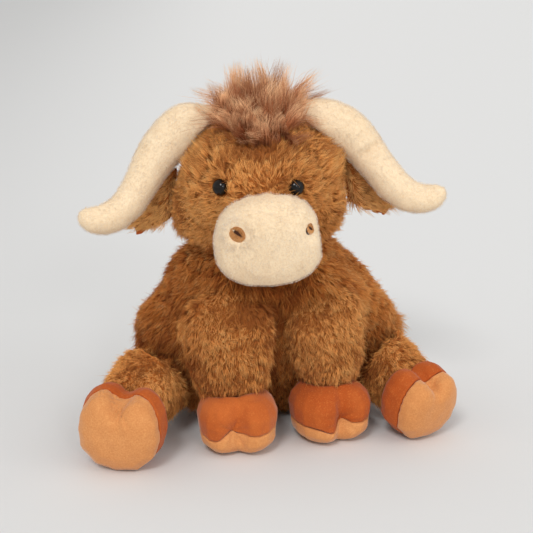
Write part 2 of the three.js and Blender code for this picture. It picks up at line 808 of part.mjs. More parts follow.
hands.forEach(({ hand, label }) => {
  const [ankleOut, ankleForward] = frontLegEnds[label].ankle;
  const frontHoofMiddle = vector(hand * ankleOut, -ankleForward - frontHoof.forward, hoof.height / 2 - floorCut);
  const frontPlace = new THREE.Matrix4().makeTranslation(frontHoofMiddle)
    .multiply(new THREE.Matrix4().makeRotationZ(radians(hand * frontHoof.toeOutDegrees)));
  const frontForm = frontLegForm(hand, label);
  addLeg('front', label, shoulderHinge, frontForm, frontPlace);

  const [growShare, toeOut, layBack, roll] = hindHoofPose[label];
  const facing = vector(hand * Math.sin(toeOut), -Math.cos(toeOut), 0);
  const hindHoofMiddle = hindLegPlace(hand, label, 1, 1)
    .addScaledVector(facing, hoof.height / 2 - hindHoof.overlap);
  const hindPlace = new THREE.Matrix4().makeTranslation(hindHoofMiddle)
    .multiply(new THREE.Matrix4().makeRotationZ(hand * toeOut))
    .multiply(new THREE.Matrix4().makeRotationX(-layBack))
    .multiply(new THREE.Matrix4().makeRotationZ(roll))
    .multiply(new THREE.Matrix4().makeScale(growShare, growShare, growShare));
  const lowest = new THREE.Box3().setFromBufferAttribute(hoofForm().applyMatrix4(hindPlace).attributes.position);
  hindPlace.premultiply(new THREE.Matrix4().makeTranslation(0, 0, -lowest.min.z - floorCut));
  const frontHoofForm = hoofForm().applyMatrix4(frontPlace);
  addLeg('hind', label, hipHinges[label], hindLegForm(hand, label), hindPlace, [frontForm, frontHoofForm]);
});

// Tail: its rounded root turns in place, close behind the rump
const rump = seatOn(torsoForm, vector(0, bullSize, tail.rootHeight), vector(0, -1, 0));
const tailPivot = rump.at.clone().addScaledVector(rump.facing, tail.thickness / 2 + seamGap);
const tailRoot = tailPivot.clone().addScaledVector(rump.facing, -tail.thickness / 2);
const tailBend = tailPivot.clone().addScaledVector(rump.facing, tail.bend).add(vector(0, 0, -tail.bend));
const tuftMiddle = vector(0, tailPivot.y + tail.reach, tail.clearance + tail.tuftLength / 2);
const tailForm = stuffedForm({
  ...tail,
  spine: [tailRoot, tailPivot, tailBend, tuftMiddle],
  widths: [tail.thickness, tail.thickness, tail.thickness],
  depths: [tail.thickness, tail.thickness, tail.thickness],
  side: vector(1, 0, 0),
});
const tuftForm = new THREE.SphereGeometry(0.5, tail.sides, tail.rings).rotateX(Math.PI / 2)
  .scale(tail.tuftThickness, tail.tuftThickness, tail.tuftLength)
  .translate(tuftMiddle.x, tuftMiddle.y, tuftMiddle.z);
const tailGroup = groupAt(bull, tailPivot);
addPiece(tailGroup, 'tail', solidOf(tailForm).subtract(clearOf(torsoForm)), brownPlush);
addPiece(tailGroup, 'tail_tuft', solidOf(tuftForm).subtract(clearOf(tailForm)), longPile);

// The pose, and the origin under the middle of the whole
headGroup.rotateZ(radians(-headTurned)).rotateY(radians(-headTilted));
const footprint = new THREE.Box3().setFromObject(bull, true);
const middle = footprint.getCenter(vector(0, 0, 0));
bull.position.set(-middle.x, -middle.y, -footprint.min.z);
bull.updateMatrixWorld(true);

export default bull;
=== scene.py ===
"""A seated plush bull with long horns: fabric skins, shaggy pile, velour and safety eyes over its frame of
plain solids. Lengths are in metres. The bull faces -Y, +Z is up, and its own left side is +X."""

import json
import math

import bpy
import numpy as np
from mathutils import Matrix, Vector, kdtree, noise
from mathutils.bvhtree import BVHTree


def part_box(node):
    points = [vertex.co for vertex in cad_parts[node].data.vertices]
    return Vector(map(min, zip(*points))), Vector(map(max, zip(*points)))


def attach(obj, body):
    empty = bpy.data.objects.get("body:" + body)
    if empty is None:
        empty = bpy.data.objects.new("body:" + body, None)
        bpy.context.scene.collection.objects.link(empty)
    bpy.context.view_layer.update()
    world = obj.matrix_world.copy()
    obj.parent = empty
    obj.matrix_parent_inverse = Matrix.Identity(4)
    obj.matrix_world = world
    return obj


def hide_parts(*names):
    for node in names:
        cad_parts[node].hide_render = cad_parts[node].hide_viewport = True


bl_info = {
    "name": "Plush Long-Horned Bull",
    "version": (1, 0, 0),
    "blender": (4, 5, 0),
    "location": "View3D > Sidebar > Plush Bull",
    "description": "Dresses a seated plush bull in shaggy pile and velour",
    "category": "Object",
}

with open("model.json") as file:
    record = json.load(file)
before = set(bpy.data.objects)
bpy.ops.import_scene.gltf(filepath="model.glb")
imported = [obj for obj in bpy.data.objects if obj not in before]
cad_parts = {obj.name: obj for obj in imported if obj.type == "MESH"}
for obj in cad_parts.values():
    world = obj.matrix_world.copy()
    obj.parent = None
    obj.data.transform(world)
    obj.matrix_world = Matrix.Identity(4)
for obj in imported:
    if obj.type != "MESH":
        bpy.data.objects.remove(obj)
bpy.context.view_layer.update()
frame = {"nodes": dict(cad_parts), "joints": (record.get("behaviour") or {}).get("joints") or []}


def pivot(joint):
    """Where one of the frame's joints turns."""
    return Vector(next(j["pos_m"] for j in frame["joints"] if j["name"] == joint))


NECK = pivot("head_turn")
SIDES = (("left", 1), ("right", -1))  # each with its direction along X
SHOWN = (-0.23, -0.93, 0.28)  # the way the bull faces its viewer, where its pile is finest
STRAND_FACES = 6  # triangles in one short strand of pile
PIECE_FACES = 190000  # the most that one piece of pile holds
LOOSE = 0.3  # share of the strands that stand outside the locks
SWIRL, FRIZZ = 0.016, 0.007  # sizes of the larger and the smaller turns in the lie of the pile
LUMP = 0.035  # size of a lump in the stuffing
LEG_PILE = {  # lightness and paleness of each leg's pile, which is paler than the torso's; the legs' lightness differs leg by leg as painted light and shade
    "front_leg_right": (0.32, 0.4), "front_leg_left": (0.42, 0.5),
    "hind_leg_right": (0.85, 0.4), "hind_leg_left": (0.6, 0.35),
}
EYE_BARE = (0.0046, 0.0056)  # how far the pile stays off the middle of the left and the right eye
EYE_RADIUS, SHANK_RADIUS, SHANK_LENGTH = 0.0061, 0.002, 0.0115
WASHER_RADIUS, WASHER_HEIGHT = 0.0062, 0.0014
EYE_DEPTH = 0.0056  # from a button's tip back to its middle
SHANK_DEPTH, WASHER_DEPTH = 0.0068, 0.0105  # from there back to the middles of the shank and the washer
CHIN_SHADE_CENTRE, CHIN_SHADE_SPREAD = (0.0, -0.06, 0.104), (0.021, 0.045, 0.03)  # painted shade: where the pile is darkened in the hollow under the chin, in the muzzle's shade
NOSTRILS = {"left": (0.0036, 0.0047), "right": (0.0058, 0.0054)}  # half sizes along and across the slit
STITCHES = 31  # along each side of a nostril
PRESS, PRESS_RADIUS = 0.0015, 0.0092  # the flat place round a nostril
RAYS, RAY_HEIGHT, RAY_RADIUS, RAY_WIDTH = 15, 0.00035, 0.0115, 0.003  # the faint gathers round that
HORN_FOLD = ((0.068, -0.039, 0.2045), (0.0808, -0.0474, 0.2157), (0.0955, -0.038, 0.2215))  # three spots along it
LIT_FLANK = (0.112, -0.005, 0.06)  # painted light: a bright patch where light falls on the torso's left side
AIM = (0.0041, -0.001, -0.0411)  # from the neck to the place that the camera faces
LAMPS = {"key": (-30, 43, 15), "fill": (35, 20, 60), "glint": (4, 24, 10)}  # azimuth, height and spread in degrees

# How pieces differ from their solids: places, pushes, and how far each push reaches
FLANKS = [((0.092, -0.004, 0.114), (-0.012, 0, -0.005), 0.022), ((0.112, -0.002, 0.056), (0.009, 0, 0.002), 0.022),
          ((-0.058, 0.01, 0.135), (-0.006, 0, 0.002), 0.02), ((-0.08, 0.02, 0.082), (-0.006, 0, 0), 0.015)]
RIGHT_HORN_FORM = [((-0.052, -0.012, 0.236), (0, 0, 0.005), 0.02)]
MUZZLE_FORM = [((0.0385, -0.085, 0.165), (-0.004, 0, -0.003), 0.013),
               ((0.041, -0.088, 0.123), (-0.0035, 0, 0.001), 0.014), ((0.003, -0.095, 0.0985), (0, 0, -0.002), 0.006)]
# The same for each hoof, then its gathered spot with its inward way and depth, all in millimetres
HOOF_FORM = {
    ("front", "right"): (
        [((-33.6, -88, 16), (0, 0, 6), 6), ((-8, -74, 14), (0, 0, 8), 15), ((-46, -84, 16), (0, 0, -3), 9)],
        ((-33.6, -88, 21), (0.4, 0.91, 0), 5)),
    ("front", "left"): (
        [((53, -82, 16), (0, 0, 5), 5), ((44, -85, 16), (0, 0, -5), 8), ((70, -66, 12), (0, 0, 5), 14)],
        ((53.2, -82, 19.5), (-0.25, 0.97, 0), 5.5)),
    ("hind", "right"): (
        [((-126, -88, 50), (0, 9, 14), 16), ((-102, -90, 50), (-2, 8, 11), 13), ((-92, -88, 30), (-4, 0, 2), 14)],
        ((-115, -94, 46), (0.2, 0.75, -0.6), 4)),
    ("hind", "left"): (
        [((112, -88, 42), (0, 4, 5), 11), ((132, -84, 42), (0, 4, 5), 11)],
        ((119.4, -89, 43), (-0.1, 0.75, -0.6), 4.5)),
}


# Settings


def a_number(name, description, default, **more):
    return bpy.props.FloatProperty(name=name, description=description, default=default, **more)


def a_length(name, description, default, **limits):
    return a_number(name, description, default, unit="LENGTH", **limits)


def a_colour(name, description, default):
    return bpy.props.FloatVectorProperty(name=name, description=description, default=default, subtype="COLOR")


class PileSettings(bpy.types.PropertyGroup):
    """Shaggy plush pile of the torso, head, legs, ears and tail."""

    density: a_number("Density", "Strands on a square millimetre", 1.3, min=0.05, max=3)
    length: a_length("Length", "Length of a strand", 0.0092, min=0.001)
    width: a_length("Strand Width", "Width of a strand halfway up", 0.00034)
    lock: a_length("Lock Spacing", "Distance between neighbouring locks", 0.0025)
    sink: a_length("Pile Depth", "Depth of the backing below the tips", 0.0045)
    root: a_colour("Root Colour", "Colour deep in the pile", (0.17, 0.045, 0.008))
    body: a_colour("Body Colour", "Colour halfway up the pile", (0.63, 0.205, 0.04))
    tip: a_colour("Tip Colour", "Colour of the tips", (0.96, 0.385, 0.078))
    worn: a_colour("Brushed Colour", "Colour of brushed tips", (0.98, 0.56, 0.2))


class ForelockSettings(bpy.types.PropertyGroup):
    """Long brushed pile on the crown."""

    strands: bpy.props.IntProperty(name="Strands", description="How many strands", default=11500, min=100)
    length: a_length("Length", "Length of the longest strands", 0.039)
    width: a_length("Strand Width", "Width of a strand near its root", 0.0003)
    locks: bpy.props.IntProperty(name="Locks", description="How many locks the strands gather in", default=260)
    body: a_colour("Colour", "Colour of the strands", (0.57, 0.185, 0.07))
    tip: a_colour("Tip Colour", "Colour of the tips", (0.98, 0.61, 0.335))


class VelourSettings(bpy.types.PropertyGroup):
    """Short velour of the muzzle, horns, hooves and ear linings."""

    cream: a_colour("Cream", "Colour of the muzzle and horns", (0.87, 0.69, 0.47))
    rust: a_colour("Rust", "Colour of the hooves' uppers", (0.4, 0.074, 0.011))
    amber: a_colour("Amber", "Colour of the soles", (0.65, 0.275, 0.094))
    nap: a_length("Nap", "Height of the nap's grain", 0.0004)
    fuzz: a_number("Fuzz", "Loose fibres on a square millimetre of the muzzle and horns", 1.0)


class StageSettings(bpy.types.PropertyGroup):
    """Floor, lights and camera."""

    azimuth: a_number("Azimuth", "Direction of the camera round the bull", math.radians(-14), subtype="ANGLE")
    elevation: a_number("Elevation", "Height of the camera over the level", math.radians(16), subtype="ANGLE")
    distance: a_length("Distance", "From the camera to the bull", 1.1)
    lens: a_number("Lens", "Focal length in millimetres", 96.6)
    world: a_number("Surroundings", "Strength of the light from all round", 0.72)
    key: a_number("Key Light", "Strength of the light from above", 1.1)
    fill: a_number("Fill Light", "Strength of the light from the front", 0.5)
    glint: a_number("Glint", "Strength of the small lamp in front, which the eyes mirror", 0.36, min=0, max=2)
    floor: a_colour("Floor", "Colour of the floor", (0.72, 0.722, 0.72))


# Meshes


def select_only(*pieces):
    bpy.ops.object.select_all(action="DESELECT")
    for piece in pieces:
        piece.select_set(True)
    bpy.context.view_layer.objects.active = pieces[0]


def applied(piece, kind, **values):
    """The piece after one modifier."""
    select_only(piece)
    bpy.ops.object.modifier_add(type=kind)
    modifier = piece.modifiers[-1]
    for name, value in values.items():
        setattr(modifier, name, value)
    bpy.ops.object.modifier_apply(modifier=modifier.name)
    return piece


def edited(piece, *steps):
    """The piece after operators in edit mode, each run on the whole mesh."""
    select_only(piece)
    bpy.ops.object.mode_set(mode="EDIT")
    for operator, values in steps:
        bpy.ops.mesh.select_all(action="SELECT")
        operator(**values)
    bpy.ops.object.mode_set(mode="OBJECT")
    return piece


def added(name, primitive, **values):
    """A new piece from one of Blender's primitives."""
    primitive(**values)
    piece = bpy.context.object
    piece.name = piece.data.name = name
    return piece


def copy_of(name, *nodes):
    """One welded copy of some of the frame's solids."""
    copies = []
    for node in nodes:
        copy = bpy.data.objects.new(name, frame["nodes"][node].data.copy())
        bpy.context.scene.collection.objects.link(copy)
        copies.append(copy)
    select_only(*copies)
    if len(copies) > 1:
        bpy.ops.object.join()
    piece = copies[0]
    piece.name = piece.data.name = name
    piece.data.materials.clear()
    return edited(piece, (bpy.ops.mesh.remove_doubles, {"threshold": 1e-5}))


def soft_skin(name, *nodes, voxel=0.003, smoothing=8, sink=0.0):
    """A rounded fabric skin a little inside some of the frame's solids."""
    piece = copy_of(name, *nodes)
    applied(piece, "REMESH", mode="VOXEL", voxel_size=voxel)
    applied(piece, "SMOOTH", factor=0.5, iterations=smoothing)
    if sink:
        edited(piece, (bpy.ops.transform.shrink_fatten, {"value": -sink}))
        applied(piece, "SMOOTH", factor=0.5, iterations=2)
    return piece


def vertex_rows(piece, what):
    found = np.empty(len(piece.data.vertices) * 3)
    piece.data.vertices.foreach_get(what, found)
    return found.reshape(-1, 3)


def points_of(piece):
    return vertex_rows(piece, "co")


def normals_of(piece):
    return vertex_rows(piece, "normal")


def move_points(piece, points):
    piece.data.vertices.foreach_set("co", points.ravel())
    piece.data.update()


def unit(vectors):
    return vectors / np.maximum(np.linalg.norm(vectors, axis=-1, keepdims=True), 1e-9)


def distances(points, place):
    """How far each point is from a place."""
    return np.linalg.norm(points - np.array(place), axis=1)


def nearness(points, place, reach):
    """One at a place, and smoothly less about its reach away."""
    return np.exp(-(distances(points, place) / reach) ** 2)


def swirl(points, size, seed):
    """A smooth random vector at each point, which changes over about the given size."""
    noise.seed_set(seed)
    return np.array([noise.noise_vector(Vector(p) / size) for p in points])


def lumpy(piece, height, size, seed):
    """Give a piece soft lumps, as stuffing leaves them."""
    points = points_of(piece)
    lift = swirl(points, size, seed)[:, :1] * height
    move_points(piece, points + normals_of(piece) * lift)


def finished(piece, material, slot, body, *nodes, fill=0.7):
    """Give a piece its material, and let it ride on its body in place of its solids. fill, its stuffing, is not used.
    """
    piece.data.shade_smooth()
    piece.data.materials.clear()
    piece.data.materials.append(material)
    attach(piece, body)
    if nodes:
        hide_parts(*nodes)


# Pile


def scattered(skin, count, rng, wanted=None):
    """Points spread evenly over a skin, and the skin's directions there."""
    mesh = skin.data
    mesh.calc_loop_triangles()
    corners = np.empty(len(mesh.loop_triangles) * 3, np.int64)
    mesh.loop_triangles.foreach_get("vertices", corners)
    corners = corners.reshape(-1, 3)
    places, facings = points_of(skin), normals_of(skin)
    a, b, c = (places[corners[:, k]] for k in range(3))
    area = np.linalg.norm(np.cross(b - a, c - a), axis=1) / 2
    if wanted is not None:
        area = area * wanted((a + b + c) / 3, unit(facings[corners[:, 0]]))
    chosen = rng.choice(len(corners), size=int(count), p=area / area.sum())
    root, split = np.sqrt(rng.random(int(count)))[:, None], rng.random(int(count))[:, None]
    shares = np.hstack([1 - root, root * (1 - split), root * split])
    where = sum(shares[:, k:k + 1] * places[corners[chosen, k]] for k in range(3))
    facing = sum(shares[:, k:k + 1] * facings[corners[chosen, k]] for k in range(3))
    return where, unit(facing)


def skin_area(skin):
    return sum(face.area for face in skin.data.polygons)


def nearest(points, centres):
    tree = kdtree.KDTree(len(centres))
    for index, centre in enumerate(centres):
        tree.insert(centre, index)
    tree.balance()
    return np.array([tree.find(point)[1] for point in points])


def strand_mesh(name, paths, radii, across, tones):
    """Closed three-sided strands with pointed ends. paths holds each strand's points from root to tip, and radii
    its half widths between the ends. Its tone lies across its part of the map, root to tip along it."""
    count, levels = paths.shape[0], paths.shape[1] - 2
    ahead = unit(np.diff(paths, axis=1))
    tangent = unit(ahead[:, 1:] + ahead[:, :-1])
    side = unit(np.cross(tangent, across[:, None, :]))
    other = np.cross(tangent, side)
    turns = [0, 2 * math.pi / 3, 4 * math.pi / 3]
    rings = np.stack([
        paths[:, 1:-1] + radii[:, :, None] * (math.cos(t) * side + math.sin(t) * other) for t in turns
    ], axis=2)
    tip = 3 * levels + 1
    points = np.concatenate([paths[:, :1], rings.reshape(count, 3 * levels, 3), paths[:, -1:]], axis=1)
    faces = [[0, 1 + (k + 1) % 3, 1 + k] for k in range(3)]
    for level in range(levels - 1):
        low, high = 3 * level + 1, 3 * level + 4
        faces += [[low + k, low + (k + 1) % 3, high + (k + 1) % 3, high + k] for k in range(3)]
    faces += [[tip - 3 + k, tip - 3 + (k + 1) % 3, tip] for k in range(3)]
    flat = np.array([v for face in faces for v in face])
    sizes = np.array([len(face) for face in faces])
    loops = (flat[None, :] + (tip + 1) * np.arange(count)[:, None]).ravel()
    starts = np.concatenate([[0], np.cumsum(np.tile(sizes, count))[:-1]])
    mesh = bpy.data.meshes.new(name)
    mesh.vertices.add(count * (tip + 1))
    mesh.vertices.foreach_set("co", points.ravel())
    mesh.loops.add(len(loops))
    mesh.loops.foreach_set("vertex_index", loops.astype(np.int32))
    mesh.polygons.add(len(starts))
    mesh.polygons.foreach_set("loop_start", starts.astype(np.int32))
    heights = np.array([math.ceil(v / 3) / (levels + 1) if v < tip else 1 for v in flat])
    offsets = np.array([(v % 3) * 0.004 if 0 < v < tip else 0.004 for v in flat])
    u = 0.01 + 0.97 * tones[:, None] + offsets[None, :]
    v = np.broadcast_to(0.01 + 0.98 * heights[None, :], u.shape)
    uv = mesh.uv_layers.new(name="OFBake")
    uv.data.foreach_set("uv", np.stack([u, v], axis=-1).ravel().astype(np.float32))
    mesh.update(calc_edges=True)
    piece = bpy.data.objects.new(name, mesh)
    bpy.context.scene.collection.objects.link(piece)
    return piece


def tree_of(*pieces):
    """A search tree of some pieces' faces."""
    points, faces = [], []
    for piece in pieces:
        faces += [[v + len(points) for v in face.vertices] for face in piece.data.polygons]
        points += [vertex.co.copy() for vertex in piece.data.vertices]
    return BVHTree.FromPolygons(points, faces)


def clear_of(points, *nodes):
    """Which points lie outside some of the frame's solids."""
    clear = np.ones(len(points), bool)
    for node in nodes:
        low, high = (np.array(corner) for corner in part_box(node))
        tree = tree_of(frame["nodes"][node])
        for index in np.flatnonzero(clear & np.all((points > low) & (points < high), axis=1)):
            place, normal, _, _ = tree.find_nearest(Vector(points[index]))
            clear[index] = (Vector(points[index]) - place).dot(normal) > 0
    return clear


def along_skin(directions, normals):
    return unit(directions - normals * np.sum(directions * normals, axis=1, keepdims=True))


def grow_pile(name, skin, looks, comb, seed, length=1.0, lean=(44, 78), wild=0.45,
              wanted=None, share=1.0, longer=None, shade=None, neighbours=()):
    """Grow shaggy pile on a skin, mostly gathered in small locks that lie the way comb says. looks is its material,
    slot and body. lean is how far locks lean at their roots and tips, in degrees, and wild how much their lie
    varies. wanted is where pile grows, and share how much of the skin that is. longer gives a place's share of the
    length, shade the painted light and shade added to its tone, and pile whose place is inside a neighbour is left
    out."""
    look = bpy.context.scene.bull_pile
    rng = np.random.default_rng(seed)

    def fineness(points, normals):
        return 0.5 + 0.5 * np.clip((normals @ np.array(SHOWN) + 0.35) / 0.5, 0, 1)

    def spread(points, normals):
        return fineness(points, normals) * (1 if wanted is None else wanted(points, normals))

    # The strands, from the front to the back
    roots, facings = scattered(skin, skin_area(skin) * share * 1e6 * look.density, rng, spread)
    free = clear_of(roots + facings * look.sink * 0.6, *neighbours)
    roots, facings = roots[free], facings[free]
    order = np.argsort(roots[:, 1])
    roots, facings = roots[order], facings[order]
    # The locks, each with its own lie, length, lift and tone
    centres, ways = scattered(skin, max(8, int(skin_area(skin) * share / look.lock ** 2)), rng, wanted)
    flow = along_skin(comb(centres, ways), ways)
    stray = swirl(centres, SWIRL, seed) + 0.6 * swirl(centres, FRIZZ, seed + 3)
    flow = along_skin(flow + wild * (1.5 * stray + 0.75 * rng.normal(size=centres.shape)), ways)
    reach = look.length * length * (0.72 + 0.5 * rng.random(len(centres)) + 0.3 * stray[:, 0])
    if longer:
        reach = reach * longer(centres, ways)
    low, high = math.radians(lean[0]), math.radians(lean[1])
    lift = 0.55 * (rng.random(len(centres)) - 0.5) + 0.35 * stray[:, 1]
    tone = 0.5 + 0.7 * stray[:, 2] + 0.26 * rng.normal(size=len(centres))
    if shade:
        tone = tone + shade(centres, ways)

    # Each strand bends over, and its middle and tip are drawn towards its lock
    lock = nearest(roots, centres)
    gathered = (rng.random(len(roots)) > LOOSE)[:, None] * (0.75 + 0.4 * rng.random(len(roots)))[:, None]
    jitter = rng.normal(size=roots.shape) * 0.2 + (gathered == 0) * rng.normal(size=roots.shape) * 0.3

    def way(share):
        angle = (low + (high - low) * share + lift[lock])[:, None]
        return unit(facings * np.cos(angle) + (flow[lock] + jitter) * np.sin(angle))

    span = (reach[lock] * (0.7 + 0.45 * rng.random(len(roots))))[:, None]
    middle = roots + span * 0.45 * way(0.2)
    tip = middle + span * 0.55 * way(0.9)
    lock_way = unit(ways * math.cos((low + high) / 2) + flow * math.sin((low + high) / 2))
    middle += 0.12 * gathered * ((centres + lock_way * reach[:, None] * 0.42)[lock] - middle)
    tip += 0.5 * gathered * ((centres + lock_way * reach[:, None] * 0.92)[lock] - tip)
    paths = np.stack([roots - facings * 0.001, middle, tip], axis=1)
    paths[:, :, 2] = np.maximum(paths[:, :, 2], look.width * np.array([1, 2, 1]))  # pressed flat on the floor
    radii = (look.width / 2 * (0.7 + 0.6 * rng.random(len(roots))) / fineness(roots, facings) ** 0.7)[:, None]
    tones = np.clip(tone[lock] + 0.22 * rng.normal(size=len(roots)), 0, 1)
    parts = math.ceil(len(roots) * STRAND_FACES / PIECE_FACES)
    for index, chosen in enumerate(np.array_split(np.arange(len(roots)), parts)):
        label = name if parts == 1 else f"{name}_{index + 1}"
        piece = strand_mesh(label, paths[chosen], radii[chosen], facings[chosen], tones[chosen])
        finished(piece, *looks, fill=None)


def fuzz(name, skin, seed, wanted=None, comb=None):
    """Loose fibres on the cream velour of the muzzle or a horn, which soften its outline."""
    rng = np.random.default_rng(seed)
    roots, facings = scattered(skin, skin_area(skin) * 1e6 * bpy.context.scene.bull_velour.fuzz, rng, wanted)
    free = clear_of(roots + facings * 0.001, "head")
    roots, facings = roots[free], facings[free]
    way = swirl(roots, 0.012, seed) * 2 + rng.normal(size=roots.shape) * 0.5
    way = along_skin(way + comb(roots, facings) if comb else way, facings)
    span = (0.0014 + 0.0012 * rng.random(len(roots)))[:, None]
    middle = roots + span * 0.5 * unit(facings + way * 0.9)
    tip = middle + span * 0.5 * unit(facings * 0.5 + way)
    tones = 0.55 + 0.45 * rng.random(len(roots))
    piece = strand_mesh(name, np.stack([roots - facings * 0.0004, middle, tip], axis=1),
                        np.full((len(roots), 1), 0.00008), facings, tones)
    finished(piece, fluff_material(), "cream_velour", "head", fill=None)


# Shaping


def pushed(piece, moves):
    """Push a piece's skin out or in. A move is a place, a push and how far it reaches."""
    points = points_of(piece)
    for place, push, reach in moves:
        points = points + nearness(points, place, reach)[:, None] * np.array(push)
    move_points(piece, points)


def creased(piece, spots, depth, width):
    """Press a crease into a piece, over three spots of its skin."""
    start, middle, end = (np.array(spot) for spot in spots)
    across = unit(np.cross(middle - start, end - start)[None])[0]
    points, normals = points_of(piece), normals_of(piece)
    along = np.clip((points - start) @ (end - start) / ((end - start) @ (end - start)), 0, 1)
    near = np.exp(-(np.abs((points - start) @ across) / width) ** 2) * np.sin(math.pi * along)
    facing = distances(points, middle) < 0.6 * np.linalg.norm(end - start)
    move_points(piece, points - normals * (depth * near * facing)[:, None])


def slid(pieces, whole, moves):
    """Slide the skin of some pieces along the whole's surface. A move is a place, a push and how far it reaches."""
    tree = tree_of(whole)
    for piece in pieces:
        points = points_of(piece)
        for _ in range(3):
            facing = np.array([tree.find_nearest(Vector(p))[1] for p in points])
            for place, push, reach in moves:
                step = nearness(points, place, reach)[:, None] * np.array(push) / 3
                points = points + step - facing * np.sum(step * facing, axis=1, keepdims=True)
        move_points(piece, points)


def gathered_in(pieces, spot, inward, depth, reach, rays, seed):
    """Pull some pieces in at one spot, with gathers that run out from it."""
    first = unit(np.cross(inward, (0.0, 0.0, 1.0)))
    second = np.cross(inward, first)
    for piece in pieces:
        points = points_of(piece)
        off = points - spot
        away = np.linalg.norm(off, axis=1)
        turn = np.arctan2(off @ second, off @ first)
        wave = np.cos(rays * turn + 1.4 * np.sin(2 * turn + seed)) + 0.4 * np.cos((2 * rays + 1) * turn + seed)
        fold = 0.0007 * wave * np.exp(-(away / reach) ** 2) * (1 - np.exp(-(away / (0.15 * reach)) ** 2))
        dip = depth * (0.6 * np.exp(-(away / (0.22 * reach)) ** 2) + 0.4 * np.exp(-(away / (0.6 * reach)) ** 2))
        move_points(piece, points + np.array(inward) * (dip + fold)[:, None])


# Stuffed pieces


def plush(node, material, comb, seed, sink=None, lumps=0.0, light=0.0, moves=(), **growth):
    """A stuffed plush piece in place of its body's first solid: its backing, and the pile that grows on it."""
    sink = bpy.context.scene.bull_pile.sink if sink is None else sink
    skin = soft_skin(f"{node}_skin", node, sink=sink)
    pushed(skin, moves)
    if lumps:
        lumpy(skin, lumps, LUMP, seed)
    finished(skin, backing_material(node, light), "brown_plush", node, node)
    grow_pile(f"{node}_skin_pile", skin, (material, "brown_plush", node), comb, seed, **growth)
    return skin


# Shading


def material_named(name, **sockets):
    """A material and its shader, with plain values on the shader's own sockets."""
    material = bpy.data.materials.get(name)
    if material is None:
        material = bpy.data.materials.new(name)
        material.use_nodes = True
    shader = material.node_tree.nodes["Principled BSDF"]
    for socket, value in sockets.items():
        shader.inputs[socket.replace("_", " ").title().replace("Ior", "IOR")].default_value = value
    return material, material.node_tree, shader


def node_in(tree, kind, **values):
    node = tree.nodes.new(kind)
    for name, value in values.items():
        setattr(node, name, value)
    return node


def link(tree, source, output, target, socket):
    tree.links.new(source.outputs[output], target.inputs[socket])


def group_named(name, inputs, outputs):
    group = bpy.data.node_groups.new(name, "ShaderNodeTree")
    for label, kind, value in inputs:
        socket = group.interface.new_socket(name=label, in_out="INPUT", socket_type=kind)
        if value is not None:
            socket.default_value = value
    for label, kind in outputs:
        group.interface.new_socket(name=label, in_out="OUTPUT", socket_type=kind)
    return group, group.nodes.new("NodeGroupInput"), group.nodes.new("NodeGroupOutput")


def mixed(tree, factor, first, second, blend="MIX"):
    """A colour mix of two sockets or colours; factor is a socket or a number."""
    node = node_in(tree, "ShaderNodeMix", data_type="RGBA", blend_type=blend)
    for index, value in ((0, factor), (6, first), (7, second)):
        if isinstance(value, bpy.types.NodeSocket):
            tree.links.new(value, node.inputs[index])
        else:
            node.inputs[index].default_value = value
    return node.outputs[2]


def mapped(tree, value, low, high, to_low=0.0, to_high=1.0):
    node = node_in(tree, "ShaderNodeMapRange", clamp=True, interpolation_type="SMOOTHSTEP")
    tree.links.new(value, node.inputs["Value"])
    for socket, number in (("From Min", low), ("From Max", high), ("To Min", to_low), ("To Max", to_high)):
        node.inputs[socket].default_value = number
    return node.outputs["Result"]


def fibre_group():
    """Colour of a strand from its tone and the share of the way from root to tip."""
    group = bpy.data.node_groups.get("Pile Fibre")
    if group:
        return group
    group, source, sink = group_named("Pile Fibre", [
        ("Tone", "NodeSocketFloat", 0.5), ("Along", "NodeSocketFloat", 0.5),
        ("Root", "NodeSocketColor", None), ("Body", "NodeSocketColor", None),
        ("Tip", "NodeSocketColor", None), ("Brushed", "NodeSocketColor", None),
    ], [("Color", "NodeSocketColor")])
    tone, height = source.outputs["Tone"], source.outputs["Along"]
    brushed = mixed(group, mapped(group, tone, 0.45, 1.0), source.outputs["Tip"], source.outputs["Brushed"])
    low = mixed(group, mapped(group, height, 0.0, 0.5), source.outputs["Root"], source.outputs["Body"])
    whole = mixed(group, mapped(group, height, 0.4, 1.0), low, brushed)
    dark = mixed(group, mapped(group, tone, 0.0, 0.55, 0.7, 0.0), whole, (0.3, 0.1, 0.0, 1), "MULTIPLY")
    group.links.new(dark, sink.inputs["Color"])
    return group


def fibre_material(name, root, body, tip, brushed, roughness=0.75, sheen=0.08):
    made = bpy.data.materials.get(name)
    if made:
        return made
    made, tree, shader = material_named(
        name, roughness=roughness, sheen_weight=sheen, sheen_roughness=0.45, specular_ior_level=0.2,
        sheen_tint=(1.0, 0.65, 0.35, 1.0))
    uv = node_in(tree, "ShaderNodeUVMap", uv_map="OFBake")
    parts = node_in(tree, "ShaderNodeSeparateXYZ")
    fibre = node_in(tree, "ShaderNodeGroup", node_tree=fibre_group())
    link(tree, uv, "UV", parts, 0)
    link(tree, parts, "X", fibre, "Tone")
    link(tree, parts, "Y", fibre, "Along")
    for socket, colour in (("Root", root), ("Body", body), ("Tip", tip), ("Brushed", brushed)):
        fibre.inputs[socket].default_value = (*colour[:3], 1)
    link(tree, fibre, "Color", shader, "Base Color")
    return made


def between(first, second, share):
    return [a + (b - a) * share for a, b in zip(first, second)]


def pile_material(part, light=0.0, paleness=0.0, sheen=0.08):
    """The brown pile of one part of the bull. light moves its depths towards the tips' colour, and paleness
    the tips towards the brushed colour."""
    look = bpy.context.scene.bull_pile
    tip = between(look.tip, look.worn, paleness)
    return fibre_material(f"Brown Pile {part.title()}", between(look.root, tip, 0.6 * light),
                          between(look.body, tip, light), tip, look.worn, sheen=sheen)


def forelock_material():
    look = bpy.context.scene.bull_forelock
    return fibre_material(
        "Long Pile", [c * 0.4 for c in look.body], look.body, look.tip, [c * 1.12 for c in look.tip],
        roughness=0.55, sheen=0.1)


